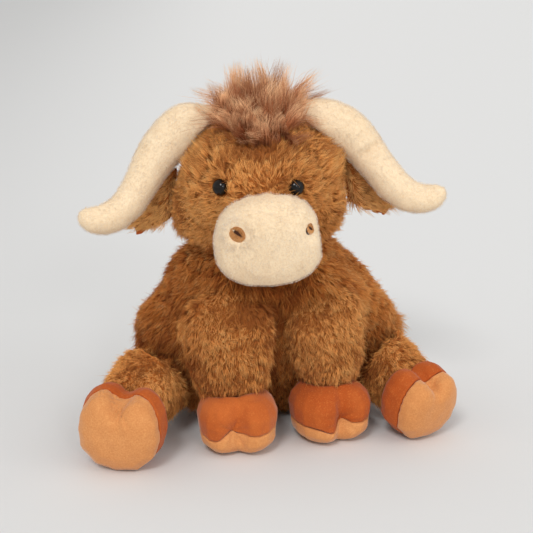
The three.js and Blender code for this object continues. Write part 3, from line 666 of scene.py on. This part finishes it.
def fluff_material():
    cream = bpy.context.scene.bull_velour.cream
    return fibre_material(
        "Cream Fluff", [c * 1.05 for c in cream], between(cream, (0.97, 0.95, 0.9), 0.5), (0.97, 0.9, 0.8),
        (0.98, 0.95, 0.9), sheen=0.6)


def nap_group():
    """The short nap of velour: brushed patches, a fine grain and the height of both."""
    group = bpy.data.node_groups.get("Velour Nap")
    if group:
        return group
    group, source, sink = group_named("Velour Nap", [
        ("Vector", "NodeSocketVector", None), ("Color", "NodeSocketColor", None),
        ("Shade", "NodeSocketColor", None), ("Patches", "NodeSocketFloat", 45.0),
        ("Grain", "NodeSocketFloat", 900.0), ("Amount", "NodeSocketFloat", 0.5),
    ], [("Color", "NodeSocketColor"), ("Height", "NodeSocketFloat")])
    patches = node_in(group, "ShaderNodeTexNoise")
    patches.inputs["Detail"].default_value = 3
    patches.inputs["Roughness"].default_value = 0.6
    grain = node_in(group, "ShaderNodeTexNoise")
    grain.inputs["Detail"].default_value = 2
    for texture, scale in ((patches, "Patches"), (grain, "Grain")):
        link(group, source, "Vector", texture, "Vector")
        group.links.new(source.outputs[scale], texture.inputs["Scale"])
    amount = node_in(group, "ShaderNodeMath", operation="MULTIPLY")
    group.links.new(mapped(group, patches.outputs["Fac"], 0.35, 0.72), amount.inputs[0])
    link(group, source, "Amount", amount, 1)
    tone = mixed(group, amount.outputs[0], source.outputs["Color"], source.outputs["Shade"])
    speck = mixed(group, mapped(group, grain.outputs["Fac"], 0.5, 0.72, 0, 0.7), tone, source.outputs["Shade"])
    glow = mapped(group, grain.outputs["Fac"], 0.5, 0.3, 0, 0.25)
    bright = mixed(group, glow, speck, (1, 0.95, 0.88, 1), "SOFT_LIGHT")
    group.links.new(bright, sink.inputs["Color"])
    height = node_in(group, "ShaderNodeMath", operation="MULTIPLY_ADD")
    link(group, patches, "Fac", height, 0)
    height.inputs[1].default_value = 0.8
    link(group, grain, "Fac", height, 2)
    link(group, height, 0, sink, "Height")
    return group


def velour_material(name, colour, shade, amount=0.5, patches=45.0, sheen=0.4):
    """Velour of a colour, with patches brushed towards a shade."""
    made = bpy.data.materials.get(name)
    if made:
        return made
    made, tree, shader = material_named(
        name, roughness=0.85, sheen_weight=sheen, sheen_roughness=0.4, specular_ior_level=0.2,
        sheen_tint=(1.0, 0.9, 0.8, 1.0))
    place = node_in(tree, "ShaderNodeTexCoord")
    nap = node_in(tree, "ShaderNodeGroup", node_tree=nap_group())
    link(tree, place, "Object", nap, "Vector")
    nap.inputs["Color"].default_value = (*colour[:3], 1)
    nap.inputs["Shade"].default_value = (*shade[:3], 1)
    for socket, value in (("Patches", patches), ("Amount", amount)):
        nap.inputs[socket].default_value = value
    link(tree, nap, "Color", shader, "Base Color")
    bump = node_in(tree, "ShaderNodeBump")
    bump.inputs["Strength"].default_value = 0.5
    bump.inputs["Distance"].default_value = bpy.context.scene.bull_velour.nap
    link(tree, nap, "Height", bump, "Height")
    link(tree, bump, "Normal", shader, "Normal")
    return made


def backing_material(part, light=0.0):
    # painted shade: the backing is coloured dark, between the roots' and the body's colours, to stand for the shade
    # deep in the pile
    look = bpy.context.scene.bull_pile
    colour = between([c * 1.2 for c in look.root], look.body, 0.25 + 0.6 * light)
    return velour_material(f"Plush Backing {part.title()}", colour, [c * 0.7 for c in colour], sheen=0.0, patches=120)


def tinted(colour, *tint):
    return [c * k for c, k in zip(colour, tint)]


def cream_material(part, patchiness):
    cream = bpy.context.scene.bull_velour.cream
    return velour_material(f"Cream Velour {part.title()}", cream, tinted(cream, 0.88, 0.8, 0.7), patchiness)


def rust_material(part):
    """Rust velour. The ears' linings and one hoof are lightened, with pale patches, as painted light and sheen on
    their nap.
    """
    rust = bpy.context.scene.bull_velour.rust
    # painted light and sheen: only the ears' linings and this one hoof are lightened
    brushed = 0.75 if part in ("front_leg_right", "ears") else 0.0
    return velour_material(
        f"Rust Velour {part.title()}", between(rust, tinted(rust, 1.35, 1.9, 2.6), 0.45 * brushed),
        tinted(rust, 1.5, 2.2, 3.0), amount=0.25 + 0.4 * brushed, patches=32, sheen=0.15 + 0.2 * brushed)


def amber_material():
    amber = bpy.context.scene.bull_velour.amber
    return velour_material("Amber Velour", amber, tinted(amber, 0.86, 0.76, 0.66), amount=0.45)


def clouded_material(name, scale, first, second, contrast=None, **sockets):
    """Plastic with faint clouds of a second colour."""
    made, tree, shader = material_named(name, **sockets)
    place = node_in(tree, "ShaderNodeTexCoord")
    cloud = node_in(tree, "ShaderNodeTexNoise")
    cloud.inputs["Scale"].default_value = scale
    link(tree, place, "Object", cloud, "Vector")
    factor = mapped(tree, cloud.outputs["Fac"], *contrast) if contrast else cloud.outputs["Fac"]
    tree.links.new(mixed(tree, factor, (*first, 1), (*second, 1)), shader.inputs["Base Color"])
    return made


def eye_material():
    return clouded_material("Black Eye", 260, (0.003, 0.002, 0.0015), (0.008, 0.005, 0.003),
                            contrast=(0.4, 0.7), roughness=0.03, specular_ior_level=0.28)


def washer_material():
    return clouded_material("Washer Plastic", 420, (0.5, 0.48, 0.43), (0.6, 0.58, 0.53), roughness=0.45)


def thread_material():
    return fibre_material("Nostril Thread", (0.5, 0.22, 0.08), (0.62, 0.29, 0.1), (0.6, 0.27, 0.09),
                          (0.85, 0.43, 0.16), roughness=0.5, sheen=0.1)


def pit_material():
    # painted shade: the pit is near black, for the shade deep in a nostril's slit
    return velour_material("Nostril Pit", (0.06, 0.022, 0.01), (0.02, 0.008, 0.004), sheen=0.0)


# Places


def centre_of(node):
    low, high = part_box(node)
    return (Vector(low) + Vector(high)) / 2


def mean_of(node):
    """The mean of a solid's corners."""
    corners = frame["nodes"][node].data.vertices
    return sum((v.co for v in corners), Vector()) / len(corners)


def shoulder(label):
    """Where the front of a front leg meets the chest."""
    low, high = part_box(f"front_leg_{label}")
    return Vector(((low[0] + high[0]) / 2, low[1] + 0.018, high[2] - 0.006))


def painted_shade_under_chin(points, normals):
    """Painted shade: how much darker the pile is made in the hollow under the chin, where the muzzle's shade falls.
    """
    off = (points - CHIN_SHADE_CENTRE) / CHIN_SHADE_SPREAD
    return -0.75 * np.exp(-np.sum(off ** 2, axis=1))


def on_crown(points):
    """Which points lie in the forelock's patch, whose lower edge hangs in a curve over the brow."""
    off = points - np.array(centre_of("head"))
    across = off[:, 0] + 0.0129
    return off[:, 2] > 0.0318 + np.where(across < 0, 24, 9) * across ** 2


def head_axes():
    """The head's middle and its own left, front and up, as arrays."""
    middle = centre_of("head")
    side = (centre_of("eye_left") - centre_of("eye_right")).normalized()
    front = centre_of("muzzle") - middle
    front = front - front.dot(side) * side
    front.z *= 0.25
    front = (front - front.dot(side) * side).normalized()
    return [np.array(v) for v in (middle, side, front, front.cross(side))]


# Operators


class BullOperator(bpy.types.Operator):
    bl_options = {"REGISTER", "UNDO"}


class BULL_OT_torso(BullOperator):
    """Make the torso and the tail"""

    bl_idname = "bull.torso"
    bl_label = "Torso and Tail"

    def execute(self, context):
        def down_and_out(points, normals):
            out = points - np.array(NECK)
            out[:, 2] = 0
            return np.array([0, 0, -1.0]) + 0.5 * unit(out)

        def seen(points, normals):
            """Less pile where the torso faces the floor."""
            return 1 - 0.65 * (normals[:, 2] < -0.75)

        legs = [f"{leg}_leg_{label}" for leg in ("front", "hind") for label, _ in SIDES]
        tops = [tree_of(frame["nodes"][leg]) for leg in legs]
        shoulders = [(shoulder(label) + Vector((0, 0.014, 0.01)), (0, -0.015, -0.006), 0.026) for label, _ in SIDES]

        def over_legs(points, normals):
            """Longer pile beside the legs, which it covers in part."""
            away = np.array([min(tree.find_nearest(Vector(p))[3] for tree in tops) for p in points])
            return 1 + 0.8 * np.exp(-(away / 0.015) ** 2)

        def painted_light_and_shade(points, normals):
            """Painted shade under the chin and a little over the whole torso, and painted light to the left and on
            the lit flank.
            """
            lit = nearness(points, LIT_FLANK, reach=0.024)
            return painted_shade_under_chin(points, normals) - 0.07 + 0.9 * points[:, 0] + 0.5 * lit

        pile = pile_material("body")
        plush("torso", pile, down_and_out, 11, lumps=0.004, moves=[*shoulders, *FLANKS], wanted=seen,
              longer=over_legs, shade=painted_light_and_shade, neighbours=("head", "muzzle", "tail", *legs))
        into_torso = (pivot("tail_lift") - Vector((0, 0.003, 0)), (0, -0.009, 0), 0.007)
        plush("tail", pile, down_and_out, 12, sink=0.0025, length=0.7, moves=[into_torso])
        tuft = soft_skin("tail_tuft_skin", "tail_tuft", sink=0.006)
        finished(tuft, backing_material("torso"), "long_pile", "tail", "tail_tuft")
        grow_pile("tail_tuft_pile", tuft, (forelock_material(), "long_pile", "tail"), down_and_out, 13,
                  length=1.9, wild=0.2)
        return {"FINISHED"}


class BULL_OT_legs(BullOperator):
    """Make the four legs"""

    bl_idname = "bull.legs"
    bl_label = "Legs"

    def execute(self, context):
        for label, hand in SIDES:
            for leg in ("front", "hind"):
                node = f"{leg}_leg_{label}"
                top, hoof = (np.array(centre_of(n)) for n in (node, f"{leg}_hoof_{label}"))
                along = unit((hoof - top)[None])[0]
                fall = np.array([0.1 * hand, -0.2, -1.0]) if leg == "front" else along * 0.6 + np.array([0, 0, -0.7])

                def down(points, normals):
                    """Down the leg, and outwards where it meets the hoof."""
                    low = np.clip((points - top) @ along / np.linalg.norm(hoof - top), 0, 1)[:, None]
                    out = unit(points - top - ((points - top) @ along)[:, None] * along)
                    return fall + 0.8 * low ** 3 * out + low ** 2 * along

                def fringe(points, normals):
                    """Longer pile over the hoof's edge."""
                    low = (points - top) @ along / np.linalg.norm(hoof - top)
                    return 1 + 0.55 * np.clip((low - 0.45) / 0.3, 0, 1)

                moves = [(shoulder(label) - Vector((0, 0.006, 0)), (0, 0.01, -0.001), 0.022),
                         (top + (-0.024 * hand, -0.012, 0.012), (-0.006 * hand, 0, 0), 0.022)]
                plush(node, pile_material(node, *LEG_PILE[node]), down, 20 + 3 * hand + (leg == "hind"),
                      lumps=0.0025, wild=0.35, light=LEG_PILE[node][0], moves=moves if leg == "front" else (),
                      longer=fringe, shade=painted_shade_under_chin, neighbours=("torso", f"{leg}_hoof_{label}"))
        return {"FINISHED"}


class BULL_OT_head(BullOperator):
    """Make the head"""

    bl_idname = "bull.head"
    bl_label = "Head"

    def execute(self, context):
        middle, side, front, up = head_axes()
        face = middle + front * 0.05 - up * 0.012
        eyes = [(np.array(centre_of(f"eye_{label}")), clear) for (label, _), clear in zip(SIDES, EYE_BARE)]

        def on_head(points):
            """How far each point is to the left, to the front and up from the head's middle."""
            off = points - middle
            return off @ side, off @ front, off @ up

        def away_from_face(points, normals):
            """Back from the muzzle and a little down, and brushed off the eyes."""
            way = unit(points - face) + np.array([0, 0, -0.35])
            for eye, clear in eyes:
                way = way + 200 * clear * nearness(points, eye, 2 * clear)[:, None] * unit(points - eye)
            return way

        def outside_eyes(points, normals):
            """Little pile under the forelock, and none on the eyes."""
            keep = 1 - 0.85 * on_crown(points)
            for eye, clear in eyes:
                keep[distances(points, eye) < clear] = 0
            return keep

        def painted_light_and_shade(points, normals):
            """Painted shadow under the forelock's edge, and painted light to the right."""
            across, ahead, high = on_head(points)
            # painted shadow of the forelock's edge on the brow
            fringe = np.exp(-((across / 0.04) ** 2 + ((high - 0.042) / 0.02) ** 2)) * (ahead > 0.01)
            return 0.1 - 0.6 * fringe + 0.2 * np.clip(-across / 0.05, 0, 1)

        def tufts(points, normals):
            """Longer pile round the horns' roots and over the eyes."""
            across, ahead, high = on_head(points)
            roots = np.exp(-(((np.abs(across) - 0.043) / 0.012) ** 2 + ((high - 0.036) / 0.014) ** 2))
            brow = sum(nearness(points, eye + up * 0.009, 0.008) for eye, _ in eyes)
            return 1 + 0.55 * roots * (ahead > 0) + 0.35 * brow

        def at_horns(points, normals):
            """Only in front of the horns' roots."""
            across, ahead, high = on_head(points)
            near = ((np.abs(across) - 0.048) / 0.013) ** 2 + ((high - 0.027) / 0.018) ** 2 < 1
            return (near & (ahead > -0.002)).astype(float)

        def over_horns(points, normals):
            return np.sign(on_head(points)[0])[:, None] * side + 0.7 * up

        jaw = middle - side * 0.056 + front * 0.012 - up * 0.03
        pile = pile_material("head", 0.65, 0.4)
        horns = ("horn_left", "horn_right")
        skin = plush("head", pile, away_from_face, 41, light=0.7, lumps=0.002, wanted=outside_eyes, wild=0.6,
                     moves=[(jaw, (-0.006, 0, 0), 0.018)], shade=painted_light_and_shade, longer=tufts,
                     neighbours=("muzzle", *horns, "torso"))
        grow_pile("head_tufts", skin, (pile, "brown_plush", "head"), over_horns, 45, length=1.45, lean=(12, 52),
                  wild=0.3, wanted=at_horns, share=0.04, neighbours=horns)
        return {"FINISHED"}


class BULL_OT_eyes(BullOperator):
    """Make the safety eyes and their washers"""

    bl_idname = "bull.eyes"
    bl_label = "Eyes"

    def execute(self, context):
        black, pale = eye_material(), washer_material()
        for label, _ in SIDES:
            eye, washer = f"eye_{label}", f"eye_washer_{label}"
            outer = mean_of(eye)
            axis = (outer - mean_of(washer)).normalized()
            turn = axis.to_track_quat("Z", "Y").to_matrix().to_4x4()
            tip = max((v.co - outer).dot(axis) for v in frame["nodes"][eye].data.vertices)
            place = Matrix.Translation(outer + axis * (tip - EYE_DEPTH)) @ turn
            dome = added(f"eye_dome_{label}", bpy.ops.mesh.primitive_uv_sphere_add,
                         segments=48, ring_count=32, radius=EYE_RADIUS)
            points = points_of(dome)
            points[:, 2] = np.where(points[:, 2] > 0, points[:, 2] * 0.82, np.maximum(points[:, 2] * 0.6, -0.0014))
            move_points(dome, points)
            dome.data.transform(place)
            shank = added(f"eye_shank_{label}", bpy.ops.mesh.primitive_cylinder_add,
                          vertices=24, radius=SHANK_RADIUS, depth=SHANK_LENGTH)
            edited(shank, (bpy.ops.mesh.subdivide, {"number_cuts": 11}))
            points = points_of(shank)
            barb = 1 - 0.28 * ((points[:, 2] / 0.0012) % 1)
            rim = np.hypot(points[:, 0], points[:, 1]) > 0.9 * SHANK_RADIUS
            points[:, :2] *= np.where(rim, barb, 1)[:, None]
            move_points(shank, points)
            shank.data.transform(place @ Matrix.Translation((0, 0, -SHANK_DEPTH)))
            disc = added(f"eye_washer_{label}_disc", bpy.ops.mesh.primitive_cylinder_add,
                         vertices=40, radius=WASHER_RADIUS, depth=WASHER_HEIGHT)
            applied(disc, "BEVEL", width=0.0003, segments=2)
            disc.data.transform(place @ Matrix.Translation((0, 0, -WASHER_DEPTH)))
            finished(dome, black, "black_plastic", "head", eye, fill=None)
            finished(shank, black, "black_plastic", "head", fill=None)
            finished(disc, pale, "washer_plastic", "head", washer, fill=None)
        return {"FINISHED"}


class BULL_OT_forelock(BullOperator):
    """Make the forelock of long brushed pile"""

    bl_idname = "bull.forelock"
    bl_label = "Forelock"

    def execute(self, context):
        look = context.scene.bull_forelock
        middle, side, front, up = head_axes()
        skin = bpy.data.objects["head_skin"]
        patch = middle + up * 0.045 + front * 0.014

        def on_patch(points, normals):
            off = points - patch
            inside = ((off @ side) / 0.047) ** 2 + ((off @ front) / 0.05) ** 2 < 1
            return (inside & on_crown(points) & (normals @ up > 0.1)).astype(float)

        # Locks that spread like a fan, each with its own way, length and bend
        rng = np.random.default_rng(51)
        roots, facings = scattered(skin, look.strands, rng, on_patch)
        centres, ways = scattered(skin, look.locks, rng, on_patch)
        lock = nearest(roots, centres)
        off = centres - patch
        fan = side * (off @ side)[:, None] / 0.075
        fore = front * (off @ front)[:, None] / 0.05
        lock_way = unit(up * 0.9 + fan * 0.7 + fore * 0.6 + ways * 0.3 + 0.9 * swirl(centres, 0.012, 52))
        lock_way = unit(lock_way + 0.42 * rng.normal(size=lock_way.shape))
        height = np.clip(off @ up / 0.02 + 1, 0.5, 1)
        height = height * (1 - 0.4 * np.clip(np.abs(off @ side) / 0.042, 0, 1) ** 2)
        reach = look.length * height * (0.45 + 0.75 * rng.random(len(centres)) ** 2)
        own_way = unit(lock_way[lock] + 0.24 * rng.normal(size=roots.shape))
        span = (reach[lock] * (0.65 + 0.45 * rng.random(len(roots))))[:, None]
        bend = unit(np.cross(lock_way, rng.normal(size=lock_way.shape)))
        sweep = (0.12 + 0.42 * rng.random(len(centres)))[lock][:, None]
        # Strands that start at their roots and draw together towards the tips of their locks
        levels = 5
        gathered = 0.2 + 0.8 * (rng.random(len(roots)) > 0.25)
        levelled = []
        for level in range(levels + 1):
            share = level / levels
            curl = bend[lock] * sweep * share ** 2
            lock_place = centres[lock] + (lock_way[lock] * share + curl) * reach[lock][:, None]
            own = roots + (own_way * share + curl) * span
            pull = (0.82 * share ** 0.9 * gathered)[:, None]
            levelled.append(own + pull * (lock_place - own))
        paths = np.stack(levelled, axis=1)
        paths[:, 0] -= facings * 0.001
        kink = np.cumsum(rng.normal(size=(len(roots), levels + 1, 3)) * 0.0005, axis=1) + np.cumsum(
            rng.normal(size=(len(centres), levels + 1, 3)) * 0.0009, axis=1)[lock]
        paths = paths + kink
        thick = look.width / 2 * (0.6 + 0.7 * rng.random(len(roots)))
        radii = thick[:, None] * np.linspace(1, 0.5, levels - 1)[None, :]
        # painted shade: the locks further forward, which hang lower over the brow, get a darker tone
        tone = 0.52 - 0.3 * (off @ front) / 0.05 + 0.45 * rng.normal(size=len(centres))
        tones = np.clip(tone[lock] + 0.22 * rng.normal(size=len(roots)), 0, 1)
        for half, nodes, chosen in zip(("left", "right"), (("forelock",), ()),
                                       np.array_split(np.argsort(-(roots @ side)), 2)):
            piece = strand_mesh(f"forelock_pile_{half}", paths[chosen], radii[chosen], facings[chosen], tones[chosen])
            finished(piece, forelock_material(), "long_pile", "head", *nodes, fill=None)
        return {"FINISHED"}


class BULL_OT_ears(BullOperator):
    """Make the ears with their linings"""

    bl_idname = "bull.ears"
    bl_label = "Ears"

    def execute(self, context):
        # painted light: the ears' pile and backing are made far lighter than the head's, so that they look lit though
        # the horns and head shade them
        material = pile_material("ears", 1.35, 0.7, sheen=0.5)
        for label, hand in SIDES:
            root = np.array(pivot(f"ear_flap_{label}"))
            tip = 2 * np.array(centre_of(f"ear_{label}")) - root

            def to_tip(points, normals):
                return unit(tip - root) + 0.3 * unit(points - root)

            # painted light: every tone of the ears' pile is raised
            def bright(points, normals):
                return 0.3

            plush(f"ear_{label}", material, to_tip, 60 + hand, sink=0.002, length=1.15, wild=0.3, light=0.95,
                  moves=[(root, (-0.006 * hand, -0.002, 0.005), 0.015)], lean=(50, 82), shade=bright)
            lining = soft_skin(f"ear_lining_{label}_skin", f"ear_lining_{label}", voxel=0.0015, smoothing=4)
            low = points_of(lining)
            reach = (low - root) @ unit((tip - root)[None])[0]
            edge = low[np.argmin(low[:, 2] - 0.5 * reach)]
            pushed(lining, [(edge, (0.002 * hand, -0.003, -0.005), 0.011)])
            finished(lining, rust_material("ears"), "rust_velour", f"ear_{label}", f"ear_lining_{label}")
        return {"FINISHED"}


class BULL_OT_horns(BullOperator):
    """Make the horns"""

    bl_idname = "bull.horns"
    bl_label = "Horns"

    def execute(self, context):
        for label, hand in SIDES:
            horn = soft_skin(f"horn_{label}_skin", f"horn_{label}", voxel=0.002, smoothing=14)
            lumpy(horn, height=0.0009, size=0.02, seed=70 + hand)
            if hand < 0:
                pushed(horn, RIGHT_HORN_FORM)
            else:
                creased(horn, HORN_FOLD, depth=0.0035, width=0.0032)
            finished(horn, cream_material("horns", 0.25), "cream_velour", "head", f"horn_{label}")
            fuzz(f"horn_{label}_fuzz", horn, 72 + hand)
        return {"FINISHED"}


def nostril(label, tree, spot, out, rng):
    """Stitch a nostril on the muzzle's skin: satin stitches on both sides of a slit, over a dark pit that is painted
    shade in the slit.
    """
    wide, high = NOSTRILS[label]
    level = unit(np.cross((0, 0, 1.0), out))
    rise = np.cross(out, level)
    slit, over = level * 0.8 - rise * 0.6, level * 0.6 + rise * 0.8
    paths, tones = [], []
    for share in np.linspace(-0.97, 0.97, STITCHES):
        chord = math.sqrt(1 - share ** 2)
        for half in (1, -1):
            gap = 0.13 - 0.3 * (share + 0.15) ** 2
            ends = np.array([0.12 + gap * half, half * chord])
            line = []
            for along in (0, 0.12, 0.5, 0.88, 1):
                at = ends[0] + (ends[1] - ends[0]) * along
                place = spot + slit * share * wide + over * at * high
                ground, facing = tree.find_nearest(Vector(place))[:2]
                height = 0.0005 + 0.0004 * math.sin(math.pi * along) - 0.0008 * along ** 4
                line.append(np.array(ground) + np.array(facing) * height)
            paths.append(line)
            tones.append(0.42 if half > 0 else 0.9)
    paths = np.array(paths) + rng.normal(size=(len(paths), 1, 3)) * 0.00004
    piece = strand_mesh(f"nostril_{label}_threads", paths, np.full((len(paths), 3), wide / 26),
                        np.tile(out, (len(paths), 1)), np.array(tones) + 0.06 * rng.normal(size=len(tones)))
    finished(piece, thread_material(), "stitching", "head", f"nostril_{label}", fill=None)
    pit = added(f"nostril_{label}_pit", bpy.ops.mesh.primitive_uv_sphere_add,
                segments=32, ring_count=12, radius=1)
    pit.data.transform(Matrix((slit * wide * 0.9, over * high * 0.9, out * 0.0006)).transposed().to_4x4())
    pit.data.transform(Matrix.Translation(tree.find_nearest(Vector(spot))[0] - Vector(out) * 0.0001))
    edited(pit, (bpy.ops.mesh.normals_make_consistent, {"inside": False}))
    finished(pit, pit_material(), "stitching", "head", fill=None)


class BULL_OT_muzzle(BullOperator):
    """Make the muzzle with its stitched nostrils"""

    bl_idname = "bull.muzzle"
    bl_label = "Muzzle"

    def execute(self, context):
        muzzle = soft_skin("muzzle_skin", "muzzle", voxel=0.002, smoothing=10)
        spots = {}
        for label, _ in SIDES:
            spot = np.array(centre_of(f"nostril_{label}"))
            points, normals = points_of(muzzle), normals_of(muzzle)
            away = distances(points, spot)
            out = unit(np.mean(normals[away < 0.006], axis=0))
            press = PRESS * np.exp(-(away / PRESS_RADIUS) ** 4)
            turn = np.arctan2(*(((points - spot) @ axis) for axis in (np.cross(out, (0, 0, 1)), (0, 0, 1))))
            ring = np.exp(-((away - RAY_RADIUS) / RAY_WIDTH) ** 2)
            ray = RAY_HEIGHT * np.cos(RAYS * turn + 2 * np.sin(3 * turn)) * ring
            move_points(muzzle, points - normals * (press + ray)[:, None])
            spots[label] = (spot, out)
        pushed(muzzle, MUZZLE_FORM)
        finished(muzzle, cream_material("muzzle", 0.35), "cream_velour", "head", "muzzle")

        def outside_nostrils(points, normals):
            keep = np.ones(len(points))
            for label, size in NOSTRILS.items():
                keep[distances(points, spots[label][0]) < size[0]] = 0
            return keep

        def halo(points, normals):
            away = distances(points, spots["right"][0])
            return outside_nostrils(points, normals) * (1 + 2.5 * np.exp(-((away - 0.0095) / 0.003) ** 2))

        def brushed(points, normals):
            way = np.zeros_like(points)
            for spot, _ in spots.values():
                way += 5 * unit(points - spot) * nearness(points, spot, 0.013)[:, None]
            return way

        fuzz("muzzle_fuzz", muzzle, 75, halo, brushed)
        tree = tree_of(muzzle)
        rng = np.random.default_rng(76)
        for label, (spot, out) in spots.items():
            nostril(label, tree, spot, out, rng)
        return {"FINISHED"}


class BULL_OT_hooves(BullOperator):
    """Make the cloven hooves with their soles"""

    bl_idname = "bull.hooves"
    bl_label = "Hooves"

    def execute(self, context):
        for leg in ("front", "hind"):
            for label, hand in SIDES:
                body = f"{leg}_leg_{label}"
                names = [f"{leg}_{part}_{label}" for part in ("hoof", "sole")]
                whole = soft_skin("whole", *names, voxel=0.002, smoothing=12)
                pieces = [soft_skin(f"{name}_skin", name, voxel=0.0013, smoothing=7) for name in names]
                moves, (spot, inward, depth) = HOOF_FORM[(leg, label)]
                slid(pieces, whole, [(np.array(place) / 1000, np.array(push) / 1000, reach / 1000)
                                     for place, push, reach in moves])
                gathered_in(pieces, np.array(spot) / 1000, unit(np.array(inward, float)), depth / 1000,
                            reach=0.017, rays=7, seed=80 + hand)
                bpy.data.objects.remove(whole)
                for piece, node, material, slot in zip(
                        pieces, names, (rust_material(body), amber_material()), ("rust_velour", "amber_velour")):
                    lumpy(piece, height=0.0004, size=0.009, seed=90)
                    finished(piece, material, slot, body, node)
        return {"FINISHED"}


class BULL_OT_stage(BullOperator):
    """Set the floor, the lights and the camera"""

    bl_idname = "bull.stage"
    bl_label = "Stage"

    def execute(self, context):
        look = context.scene.bull_stage
        context.scene.view_settings.view_transform = "Standard"
        bpy.ops.object.select_all(action="DESELECT")
        bpy.ops.mesh.primitive_plane_add(size=14, location=(0, 0, -0.0004))
        floor = context.object
        floor.name = "floor"
        material, tree, shader = material_named("Pale Floor", roughness=0.95, specular_ior_level=0.05)
        place = node_in(tree, "ShaderNodeTexCoord")
        slope = node_in(tree, "ShaderNodeVectorMath", operation="DOT_PRODUCT")
        slope.inputs[1].default_value = (-1.19, 0.3, 0)  # painted shade: the floor darker to the far left
        link(tree, place, "Object", slope, 0)
        shade = mapped(tree, slope.outputs["Value"], 0, 1)
        shaded_far_floor = [c * 0.74 for c in look.floor]
        tree.links.new(mixed(tree, shade, (*look.floor, 1), (*shaded_far_floor, 1)), shader.inputs["Base Color"])
        floor.data.materials.append(material)

        world = context.scene.world or bpy.data.worlds.new("Studio")
        context.scene.world = world
        world.use_nodes = True
        light = world.node_tree.nodes["Background"]
        light.inputs["Color"].default_value = (1, 0.99, 0.975, 1)
        light.inputs["Strength"].default_value = look.world

        for name, (azimuth, elevation, spread) in LAMPS.items():
            bpy.ops.object.light_add(type="SUN", location=(0, 0, 2))
            lamp = context.object
            lamp.name = f"{name}_light"
            lamp.data.energy = getattr(look, name)
            lamp.data.angle = math.radians(spread)
            lamp.rotation_euler = (math.radians(90 - elevation), 0, math.radians(azimuth))

        back = Vector((
            math.sin(look.azimuth) * math.cos(look.elevation),
            -math.cos(look.azimuth) * math.cos(look.elevation),
            math.sin(look.elevation),
        ))
        aim = NECK + Vector(AIM)
        bpy.ops.object.camera_add(location=aim + back * look.distance)
        camera = context.object
        camera.rotation_euler = (-back).to_track_quat("-Z", "Y").to_euler()
        camera.data.lens = look.lens
        camera.data.sensor_width = 36
        camera.data.clip_start = 0.05
        context.scene.camera = camera
        return {"FINISHED"}


class BULL_PT_panel(bpy.types.Panel):
    """The bull's pieces, in the order in which they are made"""

    bl_label = "Plush Bull"
    bl_idname = "BULL_PT_panel"
    bl_space_type = "VIEW_3D"
    bl_region_type = "UI"
    bl_category = "Plush Bull"

    def draw(self, context):
        for group in ("bull_pile", "bull_forelock", "bull_velour", "bull_stage"):
            settings = getattr(context.scene, group)
            box = self.layout.box()
            for name in settings.__annotations__:
                box.prop(settings, name)
        for operator in OPERATORS:
            self.layout.operator(operator.bl_idname)


SETTINGS = {
    "bull_pile": PileSettings,
    "bull_forelock": ForelockSettings,
    "bull_velour": VelourSettings,
    "bull_stage": StageSettings,
}
OPERATORS = (
    BULL_OT_stage, BULL_OT_torso, BULL_OT_legs, BULL_OT_head, BULL_OT_eyes, BULL_OT_forelock,
    BULL_OT_ears, BULL_OT_horns, BULL_OT_muzzle, BULL_OT_hooves,
)


def register():
    for found in (*SETTINGS.values(), *OPERATORS, BULL_PT_panel):
        bpy.utils.register_class(found)
    for name, group in SETTINGS.items():
        setattr(bpy.types.Scene, name, bpy.props.PointerProperty(type=group))


def unregister():
    for name in SETTINGS:
        delattr(bpy.types.Scene, name)
    for found in reversed((*SETTINGS.values(), *OPERATORS, BULL_PT_panel)):
        bpy.utils.unregister_class(found)


def main():
    register()
    for operator in OPERATORS:
        family, name = operator.bl_idname.split(".")
        getattr(getattr(bpy.ops, family), name)()


if __name__ == "__main__":
    main()
